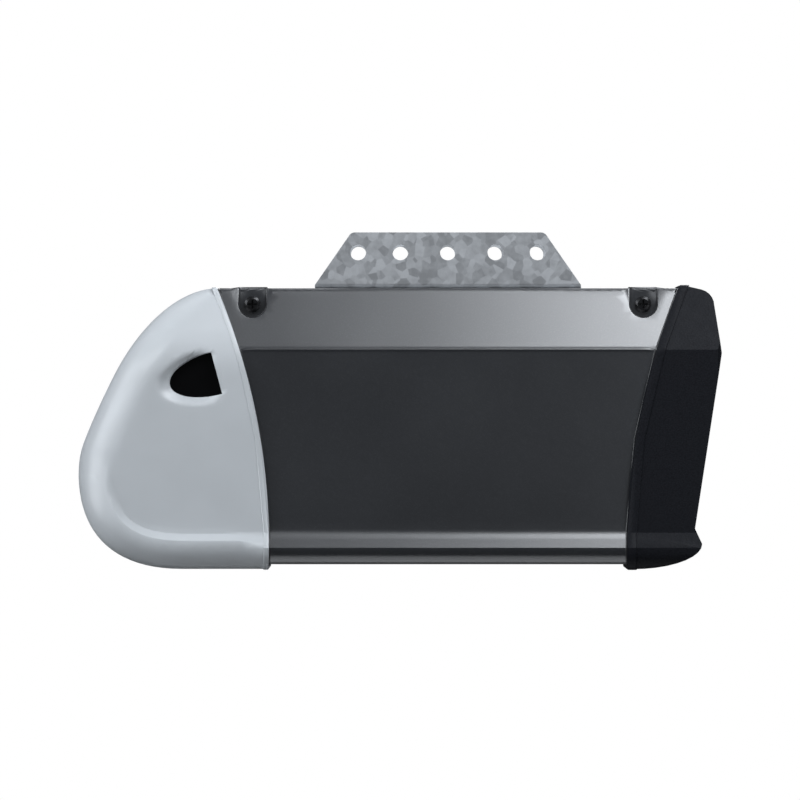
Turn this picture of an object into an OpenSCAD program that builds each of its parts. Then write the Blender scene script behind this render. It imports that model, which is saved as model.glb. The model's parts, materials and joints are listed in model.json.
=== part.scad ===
// Garage door opener power head: a chain-drive unit that hangs from a ceiling by two flanges.
// Origin: top face of the chassis plate, on the sprocket axis. +Z up, +X to the control end,
// -Y to the front face. All sizes are in millimetres.

/* [Body] */
// Distance between the lens lip and the end cap lip, at the foot of the cover
cover_l = 214.8; // [200:0.1:270]
// Width across the vertical side faces of the cover
body_w = 200; // [190:1:250]
// Width across the top edges of the cover
top_w = 164; // [150:1:176]
// Height of the cover, from its underside to its top edge
body_h = 165.8; // [155:0.1:205]
// Height of the slanted band at the top of each side
band_h = 37; // [28:0.5:48]
// Height at which the bead along the foot starts to flare out
bead_h = 19; // [15:0.5:26]
// Height of the bead's widest edge
bead_edge_h = 10; // [7:0.5:13]
// How far the bead stands out from the side face
bead_out = 6; // [3:0.5:9]
// Thickness of the cover's sheet steel
sheet_t = 1.2; // [0.8:0.1:1.8]
// Radius of the curved seams at both ends of the cover
seam_r = 393; // [300:1:600]
// How far the cover runs under the lens lip and the end cap lip
lap = 1.4; // [1:0.1:1.6]

/* [Chassis and hanging flanges] */
// Thickness of the chassis plate
plate_t = 1.9; // [1.5:0.1:2.6]
// Depth of the chassis plate's turned-down side lips
chassis_lip_h = 20; // [18:0.5:28]
// Thickness of a hanging flange
flange_t = 2; // [1.6:0.1:3]
// Height of a hanging flange above the chassis plate
flange_h = 33.6; // [28:0.1:45]
// Length of a hanging flange along its foot
flange_foot_l = 160; // [145:1:190]
// Length of a hanging flange along its top edge
flange_top_l = 118; // [114:1:140]
// Depth of the foot that a hanging flange is riveted down by
flange_foot_w = 22; // [16:0.5:30]
// Diameter of the hanging holes
hang_hole_d = 9.5; // [8.5:0.1:11]
// Spacing from the middle hanging hole to the next one
hang_pitch_in = 28.575; // [24:0.025:32]
// Spacing from that hole to the outermost one
hang_pitch_out = 25.4; // [22:0.1:28]
// Height of the hanging holes above the chassis plate
hang_hole_z = 21.6; // [18:0.1:24]
// Diameter of the studs that hold the chain rail
rail_stud_d = 7.94; // [6:0.01:10]
// Spacing of the rail studs
rail_stud_pitch = 132; // [128:1:136]
// Length of the rail studs above the chassis plate
rail_stud_l = 14.5; // [12:0.5:16]

/* [Lamp end] */
// Length of the lens beyond its lip, measured at the foot
lens_l = 114.6; // [105:0.1:150]
// Wall of the lens
lens_wall = 2.4; // [1.8:0.1:3.2]
// Gap between the cover and the lens lip that laps it
lens_gap = 1.1; // [0.9:0.1:1.4]
// Radius of the lens nose corners, seen from above
lens_corner_r = 26; // [15:1:40]
// Diameter of the lens hinge pins
hinge_pin_d = 4; // [3:0.1:4.6]
// Distance from the lens lip back to the hinge axis
hinge_back = 6.4; // [6:0.1:8]
// Height of the hinge axis above the underside of the cover
hinge_up = 4.3; // [4.1:0.1:5.5]
// Width of a lens hinge arm
hinge_arm_w = 6; // [4:0.5:9]
// Distance of each lens hinge arm from the side face of the cover
hinge_arm_in = 12; // [10:0.5:18]
// Thickness of the lamp panel
panel_t = 2.5; // [2:0.1:3.5]
// Length of the finger opening in each side of the lens
window_l = 29; // [22:0.5:36]
// Height of the finger opening
window_h = 26; // [20:0.5:32]
// Distance of a release tab's face below the outside of the lens
tab_depth = 8.4; // [6.8:0.1:10]
// Thickness of a release tab
tab_t = 2.4; // [1.8:0.1:3]
// Diameter of the bulb
bulb_d = 60; // [50:1:66]
// Length of the bulb's glass
bulb_l = 82; // [70:1:86]
// Depth of the lamp axis below the chassis plate
lamp_z = 118; // [116:1:124]

/* [Drive] */
// Diameter of the sprocket shaft
sprocket_shaft_d = 12.7; // [10:0.1:14]
// Diameter of the motor shaft
motor_shaft_d = 9.52; // [8:0.01:10.4]
// Radial clearance of a shaft in its bush
run_gap = 0.05; // [0.02:0.01:0.08]
// Pitch of the chain
chain_pitch = 12.7; // [9.525:0.001:12.7]
// Diameter of the chain rollers
roller_d = 7.77; // [5:0.01:7.92]
// Teeth on the sprocket
sprocket_teeth = 9; // [8:1:10]
// Thickness of the sprocket's toothed plate
sprocket_t = 5.8; // [4:0.1:7]
// Module of the worm drive
worm_module = 1.5; // [1.2:0.05:1.6]
// Teeth on the drive gear
gear_teeth = 34; // [30:1:36]
// Threads on the worm
worm_starts = 2; // [1:1:2]
// Pitch diameter of the worm
worm_pitch_d = 16; // [15:0.5:20]
// Length of the worm
worm_l = 26; // [20:1:32]
// Width of the drive gear's toothed rim
gear_w = 11; // [8:0.5:14]
// Free play between the worm thread and a gear tooth, along the pitch line
backlash = 0.5; // [0.3:0.05:0.8]
// Depth of the worm axis below the chassis plate
worm_z = 50; // [49:0.5:56]
// Diameter of the motor's lamination stack
stack_d = 84; // [70:1:86]
// Length of the lamination stack
stack_l = 30; // [20:1:30]
// Diameter of the motor's rotor
rotor_d = 42; // [34:0.5:46]
// Air gap between rotor and stack
air_gap = 0.5; // [0.3:0.05:0.9]
// Diameter of the motor's run capacitor
capacitor_d = 36; // [30:0.5:40]
// Length of the run capacitor
capacitor_l = 68; // [50:1:72]

/* [Control end] */
// Length of the end cap beyond its lip, measured from the foot to the crease
cap_l = 57; // [54:0.1:70]
// Wall of the end cap
cap_wall = 2.6; // [2:0.1:3.4]
// Gap between the cover and the end cap lip that laps it
cap_gap = 0.4; // [0.3:0.1:0.8]
// How far the end face leans in between its crease and its neck
cap_lean = 16.2; // [12:0.1:18]
// How far the foot of the end cap stands out from its neck
foot_out = 4.2; // [2:0.1:6]
// Width of the control recess
recess_w = 92; // [84:1:104]
// Height of the control recess
recess_h = 76; // [72:1:82]
// Distance from the neck of the end face in to the recess floor
recess_in = 2.8; // [2:0.1:4]
// Diameter of the round learn button
learn_d = 11; // [9:0.5:13]
// Side of a square adjustment button
adjust_a = 10; // [8:0.5:12]
// Travel of a control button
button_travel = 1.2; // [0.6:0.1:1.6]
// Gap all round a button in its hole
button_gap = 0.35; // [0.3:0.05:0.5]
// Bore of the gland where the power lead enters
gland_bore_d = 8.4; // [6:0.1:10]
// Thickness of the logic board
board_t = 1.6; // [1.2:0.1:2.4]

/* [Hidden] */

$fn = 64;
seam_fn = 240;
far = 400;                                    // longer than anything it cuts

foot_x = cover_l / 2;                         // the seams' distance from the middle, at the foot
seam_z = -(body_h - 12.3);                    // where the curved seams stand upright
top_y = top_w / 2;
side_y = body_w / 2;
floor_z = -body_h;
bead_edge_z = floor_z + bead_edge_h;
lip_top_x = foot_x + seam_r - sqrt(seam_r * seam_r - seam_z * seam_z);

lens_out = lens_gap + lens_wall;              // how far the lens stands outside the cover
lens_floor_gap = 0.4;
lens_z = floor_z - lens_floor_gap - lens_wall;
cap_out = cap_gap + cap_wall;
cap_top_z = 1.5;
cap_z = floor_z - cap_gap - cap_wall;

chassis_x = lip_top_x - 4.6;
chassis_y = top_y - sheet_t;                  // outside of the chassis plate's side lips
flange_y = top_y - 3;                         // outside of the hanging flanges
rivet_d = 4.8;
stud_grip = 0.8;                              // how much thicker a stud's pressed-in shank is, on the radius
rail_shank_r = rail_stud_d / 2 + stud_grip;
rivet_x = [-74, -28, 28, 74];
screw_d = 4.2;
screw_head_d = 9.7;
screw_x = lip_top_x - 21.2;
screw_z = -9.7;
pocket_w = 16.5;

hinge_x = -(foot_x - hinge_back);
hinge_z = floor_z + hinge_up;
hinge_y = side_y - hinge_arm_in;              // middle of a lens hinge arm
hinge_boss_r = 4;
panel_x = -foot_x;                            // lamp side of the lamp panel
panel_in = sheet_t + 0.6;                     // the panel's edge, in from the cover's outside
lamp_panel_z = -plate_t - 0.4;
window_x = -(lip_top_x + 0.2);                // middle of the window's upright edge
window_z = -band_h - 14;
tab_y = side_y + lens_out - tab_depth;        // outer face of the release tabs
tab_pin_d = 3;
tab_axis_x = panel_x - 7;
tab_axis_y = tab_y - tab_t / 2;
socket_r = 19;
shell_r = 15;
bulb_base_r = 13.2;

worm_r = worm_pitch_d / 2;
gear_r = worm_module * gear_teeth / 2;
motor_y = worm_r + gear_r;                    // distance between the sprocket and motor axes
lead = PI * worm_module * worm_starts;
lead_angle = atan(lead / (PI * worm_pitch_d));
addendum = worm_module;
dedendum = 1.35 * worm_module;
pressure_angle = 20;
leg_x = gear_r + addendum + 4;                // inside of the gear bracket's legs
leg_t = 2;
bell_l = 14.5;
bell_r = 33;
bell_wall = 2.6;
stack_x1 = -(leg_x + leg_t + bell_l + 2.5);   // drive end of the lamination stack
stack_x0 = stack_x1 - stack_l;
bell_end_x = stack_x0 - 15;                   // outer face of the rear end bell
bolt_r = stack_d / 2 - 4;
bolt_d = 4.4;
bush_r = 7;
disc_x = bell_end_x - 4.4;
shaft_end_x = disc_x - 1.4;

gear_z = -worm_z;
bracket_floor_z = gear_z - 20;                // underside of the gear bracket's floor
shaft_bush_r = 9.5;
housing_r = 26;
housing_t = 4;
hub_top_z = 16.2;
sprocket_z = hub_top_z - sprocket_t - 0.2;
pitch_r = chain_pitch / (2 * sin(180 / sprocket_teeth));
travel_module = 1;
travel_small = 18;
travel_large = 36;
travel_dx = travel_module * (travel_small + travel_large) / 2 + 0.15;
travel_z = bracket_floor_z - 9;

cap_crease_x = foot_x + cap_l;
cap_neck_x = cap_crease_x - cap_lean;
cap_neck_z = floor_z + 21.4;
cap_foot_z = floor_z + 12.3;
cap_foot_r = 42;                              // length of the curve under the foot of the end cap
recess_x = cap_neck_x - recess_in;
recess_top_z = floor_z + 29.4 + recess_h;
recess_mid_z = recess_top_z - recess_h / 2;
floor_x = recess_x - cap_wall;                // inner side of the recess floor
board_x = floor_x - 14;                       // button side of the logic board
board_w = 140;
board_h = 92;
board_boss_y = 63;
board_boss_z = [recess_top_z + 2, recess_top_z - recess_h - 2];
end_flange_x = chassis_x - 3;
cap_screw_y = 52;
cap_screw_z = -20;
button_z = [recess_top_z - 15, recess_top_z - 31, recess_top_z - 47];
button_y = -26;
learn_y = 2;
led_y = -4;
terminal_y = 16;
terminal_z = recess_top_z - 55;
lever_w = 5;
lever_pitch = 7;
gland_x = cap_crease_x - 5;                    // under the rim of the cord gland, which sits in a pocket
gland_rim_r = gland_bore_d / 2 + 5;
gland_y = 0;
gland_z = -24;

// Outlines -------------------------------------------------------------------------------------

function mirrored(half) = concat(half, [for (i = [len(half) - 1:-1:0]) [-half[i][0], half[i][1]]]);

// Cross-section of the body: slanted band, upright side, flared bead and rounded foot.
function body_section(out, z_top, z_bottom) = mirrored(concat(
    [[top_y + out - (side_y - top_y) * z_top / band_h, z_top], [side_y + out, -band_h],
     [side_y + out, floor_z + bead_h]],
    [for (a = [0:15:90])
        [side_y - 5 + (5 + bead_out + out) * cos(a), bead_edge_z - (bead_edge_z - z_bottom) * sin(a)]]));

function bezier(p, n) = [for (i = [1:n]) let (t = i / n, s = 1 - t)
    s * s * s * p[0] + 3 * s * s * t * p[1] + 3 * s * t * t * p[2] + t * t * t * p[3]];

// Side outline of the lens, as shares of its length beyond the lip and of its height.
lens_curve = [[0.267, 0], [0.485, 0], [0.686, 0.143], [0.808, 0.303], [0.865, 0.378], [0.939, 0.488],
              [0.974, 0.553], [0.996, 0.594], [1, 0.63], [1, 0.672], [0.991, 0.868], [0.825, 1],
              [0.459, 1]];
lens_points = [for (p = lens_curve) [-(foot_x + lens_l * p[0]), lens_z * p[1]]];
lens_outline = concat([[0, 0], lens_points[0]],
    [for (k = [0:3:9]) each bezier([for (j = [0:3]) lens_points[k + j]], 7)], [[0, lens_z]]);

// Side outline of the end cap: rounded top corner, crease, leaning end face, neck and foot.
cap_outline = concat([[0, cap_top_z], [lip_top_x + 4, cap_top_z]],
    [for (a = [75:-15:0]) [cap_crease_x - 14.4 + 10 * cos(a), cap_top_z - 12 + 10 * sin(a)]],
    [[cap_crease_x, -band_h - 2], [cap_neck_x, cap_neck_z]],
    [for (a = [0:10:90])
        [cap_neck_x + foot_out - cap_foot_r * (1 - cos(a)), cap_foot_z - (cap_foot_z - cap_z) * sin(a)]],
    [[0, cap_z]]);

// Outline of a finger opening: a half ellipse, its straight side leaning back at the top.
function window_outline(grow) = let (lean = 15) [for (a = [90:15:270])
    let (u = (window_l + grow) * cos(a) + grow * (a == 90 || a == 270 ? 1 : 0),
         v = (window_h / 2 + grow) * sin(a))
    [window_x + u * cos(lean) - v * sin(lean), window_z + u * sin(lean) + v * cos(lean)]];

// Points of a gear with straight-sided teeth.
function gear_points(teeth, gear_module, play, tip, root) = let (
        r = teeth * gear_module / 2,
        half = (PI * gear_module / 2 - play) / 2,
        flank = tan(pressure_angle),
        tip_a = (half - tip * flank) / (r + tip) * 180 / PI,
        root_a = (half + root * flank) / (r - root) * 180 / PI)
    [for (i = [0:teeth - 1], c = [[r - root, -root_a], [r + tip, -tip_a], [r + tip, tip_a], [r - root, root_a]])
        c[0] * [cos(i * 360 / teeth + c[1]), sin(i * 360 / teeth + c[1])]];

// Radius of the worm at an angle of its own cross-section.
function worm_radius(a) = let (
        pitch = PI * worm_module,
        x = abs((a / 360 * lead) % pitch - pitch / 2),
        half = (pitch / 2 - backlash) / 2,
        rise = (half - x) / tan(pressure_angle))
    worm_r + max(-dedendum, min(addendum, rise));

// Building helpers -----------------------------------------------------------------------------

// Extrudes a (Y, Z) shape from x0 to x1.
module along_x(x0, x1) { translate([x0, 0, 0]) rotate([90, 0, 90]) linear_extrude(x1 - x0) children(); }

// Extrudes an (X, Z) shape from y0 to y1.
module along_y(y0, y1) { translate([0, y1, 0]) rotate([90, 0, 0]) linear_extrude(y1 - y0) children(); }

// A cylinder along X, from x0 to x1.
module rod_x(r, x0, x1, y, z) { translate([x0, y, z]) rotate([0, 90, 0]) cylinder(r = r, h = x1 - x0); }

// A cylinder along Y, from y0 to y1.
module rod_y(r, y0, y1, x, z) { translate([x, y1, z]) rotate([90, 0, 0]) cylinder(r = r, h = y1 - y0); }

// A cylinder along Z, from z0 to z1.
module rod_z(r, z0, z1, x = 0, y = 0) { translate([x, y, z0]) cylinder(r = r, h = z1 - z0); }

// A block between two opposite corners.
module block(a, b) { translate(a) cube(b - a); }

module front_and_back() { children(); mirror([0, 1, 0]) children(); }

module both_ends() { children(); mirror([1, 0, 0]) children(); }

// Everything on the lens side of the lamp-end seam, moved in from the lens lip by a lap.
module lens_side(inset) {
    translate([-(foot_x + seam_r), far / 2, seam_z]) rotate([90, 0, 0])
        cylinder(r = seam_r - inset, h = far, $fn = seam_fn);
}

// Cross-slotted screw along +Z: the head above the origin, the shank below it.
module cross_screw(shank_l, head_d) {
    difference() {
        union() {
            rod_z(head_d / 2, 0, 2.2);
            translate([0, 0, 2.2]) cylinder(r1 = head_d / 2, r2 = head_d / 2 - 1.4, h = 1);
            rod_z(screw_d / 2, -shank_l, 0);
        }
        for (a = [0, 90]) rotate(a) block([-2.6, -0.55, 1.2], [2.6, 0.55, 4]);
    }
}

// Hex washer-head screw along +Z.
module hex_screw(shank_l) {
    rod_z(4.6, 0, 0.9);
    translate([0, 0, 0.9]) cylinder(d = 7.2, h = 2.6, $fn = 6);
    rod_z(screw_d / 2, -shank_l, 0);
}

// Steel body ------------------------------------------------------------------------------------

module chassis_plate() {
    lamp_flange_x = panel_x + panel_t;
    color("silver") difference() {
        union() {
            block([-chassis_x, -chassis_y, -plate_t], [chassis_x, chassis_y, 0]);
            front_and_back()
                block([-chassis_x, chassis_y - plate_t, -chassis_lip_h], [chassis_x, chassis_y, 0]);
            front_and_back() block([end_flange_x - plate_t, 38, -34], [end_flange_x, 66, 0]);
            block([lamp_flange_x, -70, -16], [lamp_flange_x + plate_t, 70, 0]);
        }
        both_ends() rod_y(screw_d / 2, -side_y, side_y, screw_x, screw_z);
        front_and_back() for (x = rivet_x)
            rod_z(rivet_d / 2, -far, far, x, flange_y - flange_foot_w / 2);
        both_ends() rod_z(rail_shank_r, -far, far, rail_stud_pitch / 2);
        rod_z(13, -far, far);
        for (p = screw_places_z) rod_z(screw_d / 2, -far, far, p[0], p[1]);
        for (p = bracket_screws) rod_z(screw_d / 2, -far, far, p[0], p[1]);
        front_and_back() rod_x(screw_d / 2, 0, far, cap_screw_y, cap_screw_z);
        front_and_back() rod_x(screw_d / 2, -far, 0, 60, -9);
    }
}

module flange_front() {
    bend_r = 3;
    difference() {
        intersection() {
            along_x(-far / 2, far / 2) difference() {
                union() {
                    translate([-flange_y, 0]) square([flange_t, flange_h]);
                    translate([-flange_y, 0]) square([flange_foot_w, flange_t]);
                }
                translate([-flange_y, 0]) difference() {
                    translate([-1, -1]) square(bend_r + 1);
                    translate([bend_r, bend_r]) circle(bend_r);
                }
            }
            along_y(-flange_y - 1, 0) hull() {
                for (s = [-1, 1]) translate([s * (flange_top_l / 2 - 3), flange_h - 4]) circle(4);
                translate([-flange_foot_l / 2, 0]) square([flange_foot_l, flange_t]);
            }
        }
        for (x = hang_x) rod_y(hang_hole_d / 2, -far, 0, x, hang_hole_z);
        for (x = rivet_x) rod_z(rivet_d / 2, -1, 5, x, -flange_y + flange_foot_w / 2);
    }
}
hang_x = [-hang_pitch_in - hang_pitch_out, -hang_pitch_in, 0, hang_pitch_in, hang_pitch_in + hang_pitch_out];

module hanging_flange_front() { color("darkgray") flange_front(); }

module hanging_flange_back() { color("darkgray") mirror([0, 1, 0]) flange_front(); }

module flange_rivets() {
    color("gray") front_and_back() for (x = rivet_x)
        translate([x, flange_y - flange_foot_w / 2, 0]) {
            rod_z(rivet_d / 2, -plate_t, flange_t);
            rod_z(4, flange_t, flange_t + 1.4);
            rod_z(3.6, -plate_t - 1.6, -plate_t);
        }
}

module rail_studs() {
    color("silver") both_ends() translate([rail_stud_pitch / 2, 0, 0]) {
        rod_z(rail_stud_d / 2, 0, rail_stud_l);
        rod_z(rail_shank_r, -plate_t, 0);
        rod_z(7, -plate_t - 2.2, -plate_t);
    }
}

// A screw pocket's outline: open at the top edge, round at the bottom.
module pocket_outline(r) {
    translate([screw_x, screw_z + 0.6]) {
        circle(r);
        translate([-r, 0]) square([2 * r, far / 8]);
    }
}

module steel_cover() {
    color([0.17, 0.18, 0.2]) difference() {
        union() {
            difference() {
                along_x(-far / 2, far / 2) polygon(body_section(0, 0, floor_z));
                along_x(-far / 2, far / 2) polygon(body_section(-sheet_t, 1, floor_z + sheet_t));
            }
            front_and_back() both_ends() intersection() {
                along_y(chassis_y, side_y) pocket_outline(pocket_w / 2 + sheet_t);
                along_x(0, far / 2) polygon(body_section(0, 0, floor_z));
            }
        }
        front_and_back() both_ends() {
            along_y(top_y, far / 2) pocket_outline(pocket_w / 2);
            rod_y(screw_d / 2 + 0.2, 0, side_y, screw_x, screw_z);
        }
        both_ends() lens_side(lap);
        both_ends() block([lip_top_x - 1.4, -far, -lens_wall - 0.4], [far, far, 1]);
        front_and_back() block([-far, hinge_y - hinge_arm_w / 2 - 1, floor_z - 1],
                               [hinge_x + hinge_boss_r + 1.6, hinge_y + hinge_arm_w / 2 + 1, floor_z + 3]);
    }
}

module cover_screws() {
    color([0.06, 0.06, 0.06]) front_and_back() both_ends()
        translate([screw_x, top_y, screw_z]) rotate([-90, 0, 0]) cross_screw(top_y - chassis_y + 7, screw_head_d);
}

// Places of the vertical screws: three in the bearing housing, four in the gear bracket's feet.
screw_places_z = [for (a = [30, 150, 270]) 20 * [cos(a), sin(a)]];
bracket_foot_x = leg_x + leg_t + 7;
bracket_screws = [for (x = [-bracket_foot_x, bracket_foot_x], y = [-16, 18]) [x, y]];

module chassis_screws() {
    color("silver") {
        for (p = screw_places_z) translate([p[0], p[1], housing_t]) hex_screw(housing_t + plate_t + 2);
        for (p = bracket_screws) translate([p[0], p[1], 0]) hex_screw(plate_t + leg_t + 2);
        front_and_back() translate([panel_x, 60, -9]) rotate([0, -90, 0]) hex_screw(panel_t + plate_t + 2);
        front_and_back() translate([end_flange_x + 4, cap_screw_y, cap_screw_z]) rotate([0, 90, 0])
            hex_screw(4 + plate_t + 2);
    }
}

// Lamp end --------------------------------------------------------------------------------------

// The lens as a closed form; inset moves its outline in and out sets its width.
module lens_form(inset, out, z_top, z_bottom) {
    nose_x = foot_x + lens_l - inset;
    corner_r = lens_corner_r - inset;
    wide = side_y + bead_out + out;
    intersection() {
        along_y(-far / 2, far / 2) offset(delta = -inset) polygon(lens_outline);
        along_x(-far, 0) polygon(body_section(out, z_top, z_bottom));
        translate([0, 0, -far]) linear_extrude(2 * far) {
            translate([-nose_x, -wide + corner_r]) square([nose_x, 2 * (wide - corner_r)]);
            translate([-nose_x + corner_r, -wide]) square([nose_x - corner_r, 2 * wide]);
            for (s = [-1, 1]) translate([-nose_x + corner_r, s * (wide - corner_r)]) circle(corner_r);
        }
    }
}

module lens() {
    arm_floor = floor_z - lens_floor_gap;
    color([0.78, 0.81, 0.83]) difference() {
        union() {
            difference() {
                intersection() {
                    lens_form(0, lens_out, 0, lens_z);
                    lens_side(0);
                }
                lens_form(lens_wall, lens_gap, -lens_wall, arm_floor);
            }
            front_and_back() {
                rod_y(hinge_boss_r, hinge_y - hinge_arm_w / 2, hinge_y + hinge_arm_w / 2, hinge_x, hinge_z);
                block([panel_x - 12, hinge_y - hinge_arm_w / 2, hinge_z - hinge_boss_r + 0.4],
                      [hinge_x, hinge_y + hinge_arm_w / 2, hinge_z + 2.6]);
                block([panel_x - 12, hinge_y - hinge_arm_w / 2, lens_z + 1],
                      [panel_x - 4, hinge_y + hinge_arm_w / 2, hinge_z + 2.6]);
            }
        }
        front_and_back() {
            rod_y(hinge_pin_d / 2 + run_gap, 0, side_y, hinge_x, hinge_z);
            along_y(side_y - 3, far / 2) polygon(window_outline(0));
        }
    }
}

module lens_hinge_pins() {
    color("silver") front_and_back()
        rod_y(hinge_pin_d / 2, hinge_y - hinge_arm_w / 2 - 3.5, hinge_y + hinge_arm_w / 2 + 3.5, hinge_x, hinge_z);
}

module lamp_panel() {
    cheek_y = hinge_arm_w / 2 + 0.4;
    rim_l = 8;
    color("whitesmoke") difference() {
        union() {
            difference() {
                along_x(panel_x, panel_x + panel_t + rim_l)
                    polygon(body_section(-panel_in, lamp_panel_z, floor_z + panel_in));
                along_x(panel_x + panel_t, 0)
                    polygon(body_section(-panel_in - 2, lamp_panel_z + 1, floor_z + panel_in + 2));
                block([panel_x + panel_t, -far, -chassis_lip_h - 1], [0, far, 1]);
                front_and_back()
                    block([-far, hinge_y - cheek_y - 3, floor_z], [0, hinge_y + cheek_y + 3, hinge_z + 7]);
            }
            front_and_back() for (s = [-1, 1])
                along_y(hinge_y + s * (cheek_y + 1.5) - 1.5, hinge_y + s * (cheek_y + 1.5) + 1.5) {
                    translate([panel_x, floor_z + sheet_t + 0.2]) square([hinge_x - panel_x + 4.2, 11]);
                    translate([panel_x + panel_t, hinge_z + 6]) square([rim_l, 3]);
                }
            front_and_back() block([tab_axis_x - 2.6, tab_axis_y - 2.6, window_z - 14],
                                   [panel_x + 0.5, tab_axis_y + 2.6, window_z + 14]);
        }
        front_and_back() {
            rod_y(hinge_pin_d / 2, 0, side_y, hinge_x, hinge_z);
            translate([tab_axis_x, tab_axis_y, 0]) rod_z(tab_pin_d / 2, window_z - 12, window_z + 15);
            block([tab_axis_x - 3, tab_axis_y - 3.2, window_z - 9.5], [panel_x - 0.5, tab_axis_y + 3, window_z + 9.5]);
            rod_x(screw_d / 2 + 0.2, -far, 0, 60, -9);
        }
        rod_x(socket_r, -far, 0, 0, -lamp_z);
        block([panel_x - 1, -chassis_y - 1, -chassis_lip_h], [-foot_x + panel_t + 20, -chassis_y + plate_t + 0.3, 1]);
        block([panel_x - 1, chassis_y - plate_t - 0.3, -chassis_lip_h], [-foot_x + panel_t + 20, chassis_y + 1, 1]);
    }
}

// Release tab on the front side: a pivoted arm with a finger pad behind the lens opening.
module front_tab() {
    difference() {
        union() {
            along_y(-tab_y, -tab_y + tab_t) intersection() {
                polygon(window_outline(2));
                translate([-far, -far]) square([far + tab_axis_x - 5, far * 2]);
            }
            block([window_x - 6, -tab_y, window_z - 8], [tab_axis_x, -tab_y + tab_t, window_z + 8]);
            rod_z(2.3, window_z - 9, window_z + 9, tab_axis_x, -tab_axis_y);
            block([window_x - 8, -tab_y + tab_t, window_z - 3], [tab_axis_x - 6, -tab_y + tab_t + 2, window_z + 3]);
        }
        rod_z(tab_pin_d / 2 + run_gap, -far, 0, tab_axis_x, -tab_axis_y);
    }
}

module release_tab_front() { color([0.05, 0.05, 0.05]) front_tab(); }

module release_tab_back() { color([0.05, 0.05, 0.05]) mirror([0, 1, 0]) front_tab(); }

module tab_pins() {
    color("silver") front_and_back()
        rod_z(tab_pin_d / 2, window_z - 12, window_z + 14, tab_axis_x, tab_axis_y);
}

socket_l = 30;
socket_x1 = panel_x + panel_t + socket_l;     // closed end of the lamp socket

module lamp_socket() {
    color("ivory") difference() {
        union() {
            rod_x(socket_r, panel_x - 2, socket_x1, 0, -lamp_z);
            rod_x(socket_r + 4, panel_x - 4, panel_x, 0, -lamp_z);
        }
        rod_x(shell_r, -far, socket_x1 - 3, 0, -lamp_z);
        rod_x(3, -far, 0, 0, -lamp_z);
    }
}

module socket_shell() {
    color("goldenrod") difference() {
        rod_x(shell_r, panel_x - 1, socket_x1 - 5, 0, -lamp_z);
        rod_x(shell_r - 0.6, panel_x - 2, socket_x1 - 4, 0, -lamp_z);
    }
}

module socket_contact() {
    color("goldenrod") {
        rod_x(3, socket_x1 - 3, socket_x1 + 3, 0, -lamp_z);
        rod_x(4.6, socket_x1 - 4, socket_x1 - 3, 0, -lamp_z);
    }
}

bulb_x = panel_x - 3;                         // where the bulb's glass leaves its base

module bulb_glass() {
    ball_r = bulb_d / 2;
    neck_r = 12.4;
    color("white") translate([bulb_x, 0, -lamp_z]) rotate([0, -90, 0]) rotate_extrude() difference() {
        polygon(concat([[0, 0], [neck_r, 0], [neck_r, 6]],
            [for (a = [-52:8:84]) [ball_r * cos(a), bulb_l - ball_r + ball_r * sin(a)]],
            [[0, bulb_l]]));
        translate([-1, -1]) square([1, far / 2]);
    }
}

module bulb_base() {
    color("silver") {
        rod_x(bulb_base_r, bulb_x, bulb_x + 22, 0, -lamp_z);
        translate([bulb_x + 22, 0, -lamp_z]) rotate([0, 90, 0])
            cylinder(r1 = bulb_base_r - 1, r2 = 5, h = 4);
        rod_x(3.6, bulb_x + 26, socket_x1 - 4, 0, -lamp_z);
    }
}

// Motor -----------------------------------------------------------------------------------------

// Moves a shape from the X axis to the motor's axis.
module on_motor_axis() { translate([0, motor_y, gear_z]) children(); }

module four_bolts() { for (a = [45:90:315]) rotate([a, 0, 0]) translate([0, bolt_r, 0]) children(); }

module stator_stack() {
    slots = 12;
    color("dimgray") on_motor_axis() difference() {
        rod_x(stack_d / 2, stack_x0, stack_x1, 0, 0);
        rod_x(rotor_d / 2 + air_gap, stack_x0 - 1, stack_x1 + 1, 0, 0);
        for (i = [0:slots - 1]) rotate([i * 360 / slots, 0, 0])
            block([stack_x0 - 1, rotor_d / 2 - 1, -2], [stack_x1 + 1, rotor_d / 2 + 8, 2]);
        four_bolts() rod_x(bolt_d / 2, stack_x0 - 1, stack_x1 + 1, 0, 0);
    }
}

module stator_windings() {
    ring_in = rotor_d / 2 + 1.2;
    ring_out = bell_r - bell_wall - 0.6;
    color("peru") on_motor_axis() for (x = [stack_x0 - 10, stack_x1]) difference() {
        rod_x(ring_out, x, x + 10, 0, 0);
        rod_x(ring_in, x - 1, x + 11, 0, 0);
    }
}

// End bell with its open side on x = 0 and its face at x = depth.
module end_bell(depth) {
    difference() {
        union() {
            rod_x(bell_r, 0, depth, 0, 0);
            rod_x(stack_d / 2, 0, 3, 0, 0);
            rod_x(bush_r + 3, depth - 6, depth, 0, 0);
        }
        rod_x(bell_r - bell_wall, -1, depth - bell_wall, 0, 0);
        rod_x(bush_r, -1, depth + 1, 0, 0);
        four_bolts() rod_x(bolt_d / 2, -1, 4, 0, 0);
        for (i = [0:5]) rotate([i * 60 + 15, 0, 0]) block([4.5, bell_r - 6, -3], [depth - 4, bell_r + 2, 3]);
    }
}

module motor_bell_front() {
    color("gray") on_motor_axis() translate([stack_x1, 0, 0]) end_bell(bell_l + 2.5);
}

module motor_bell_rear() {
    color("gray") on_motor_axis() translate([stack_x0, 0, 0]) mirror([1, 0, 0]) end_bell(15);
}

module motor_bolts() {
    color("silver") on_motor_axis() four_bolts() {
        rod_x(bolt_d / 2, stack_x0 - 3, -leg_x, 0, 0);
        translate([-leg_x, 0, 0]) rotate([0, 90, 0]) cylinder(d = 8, h = 3, $fn = 6);
        translate([stack_x0 - 6, 0, 0]) rotate([0, 90, 0]) cylinder(d = 8, h = 3, $fn = 6);
    }
}

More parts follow.
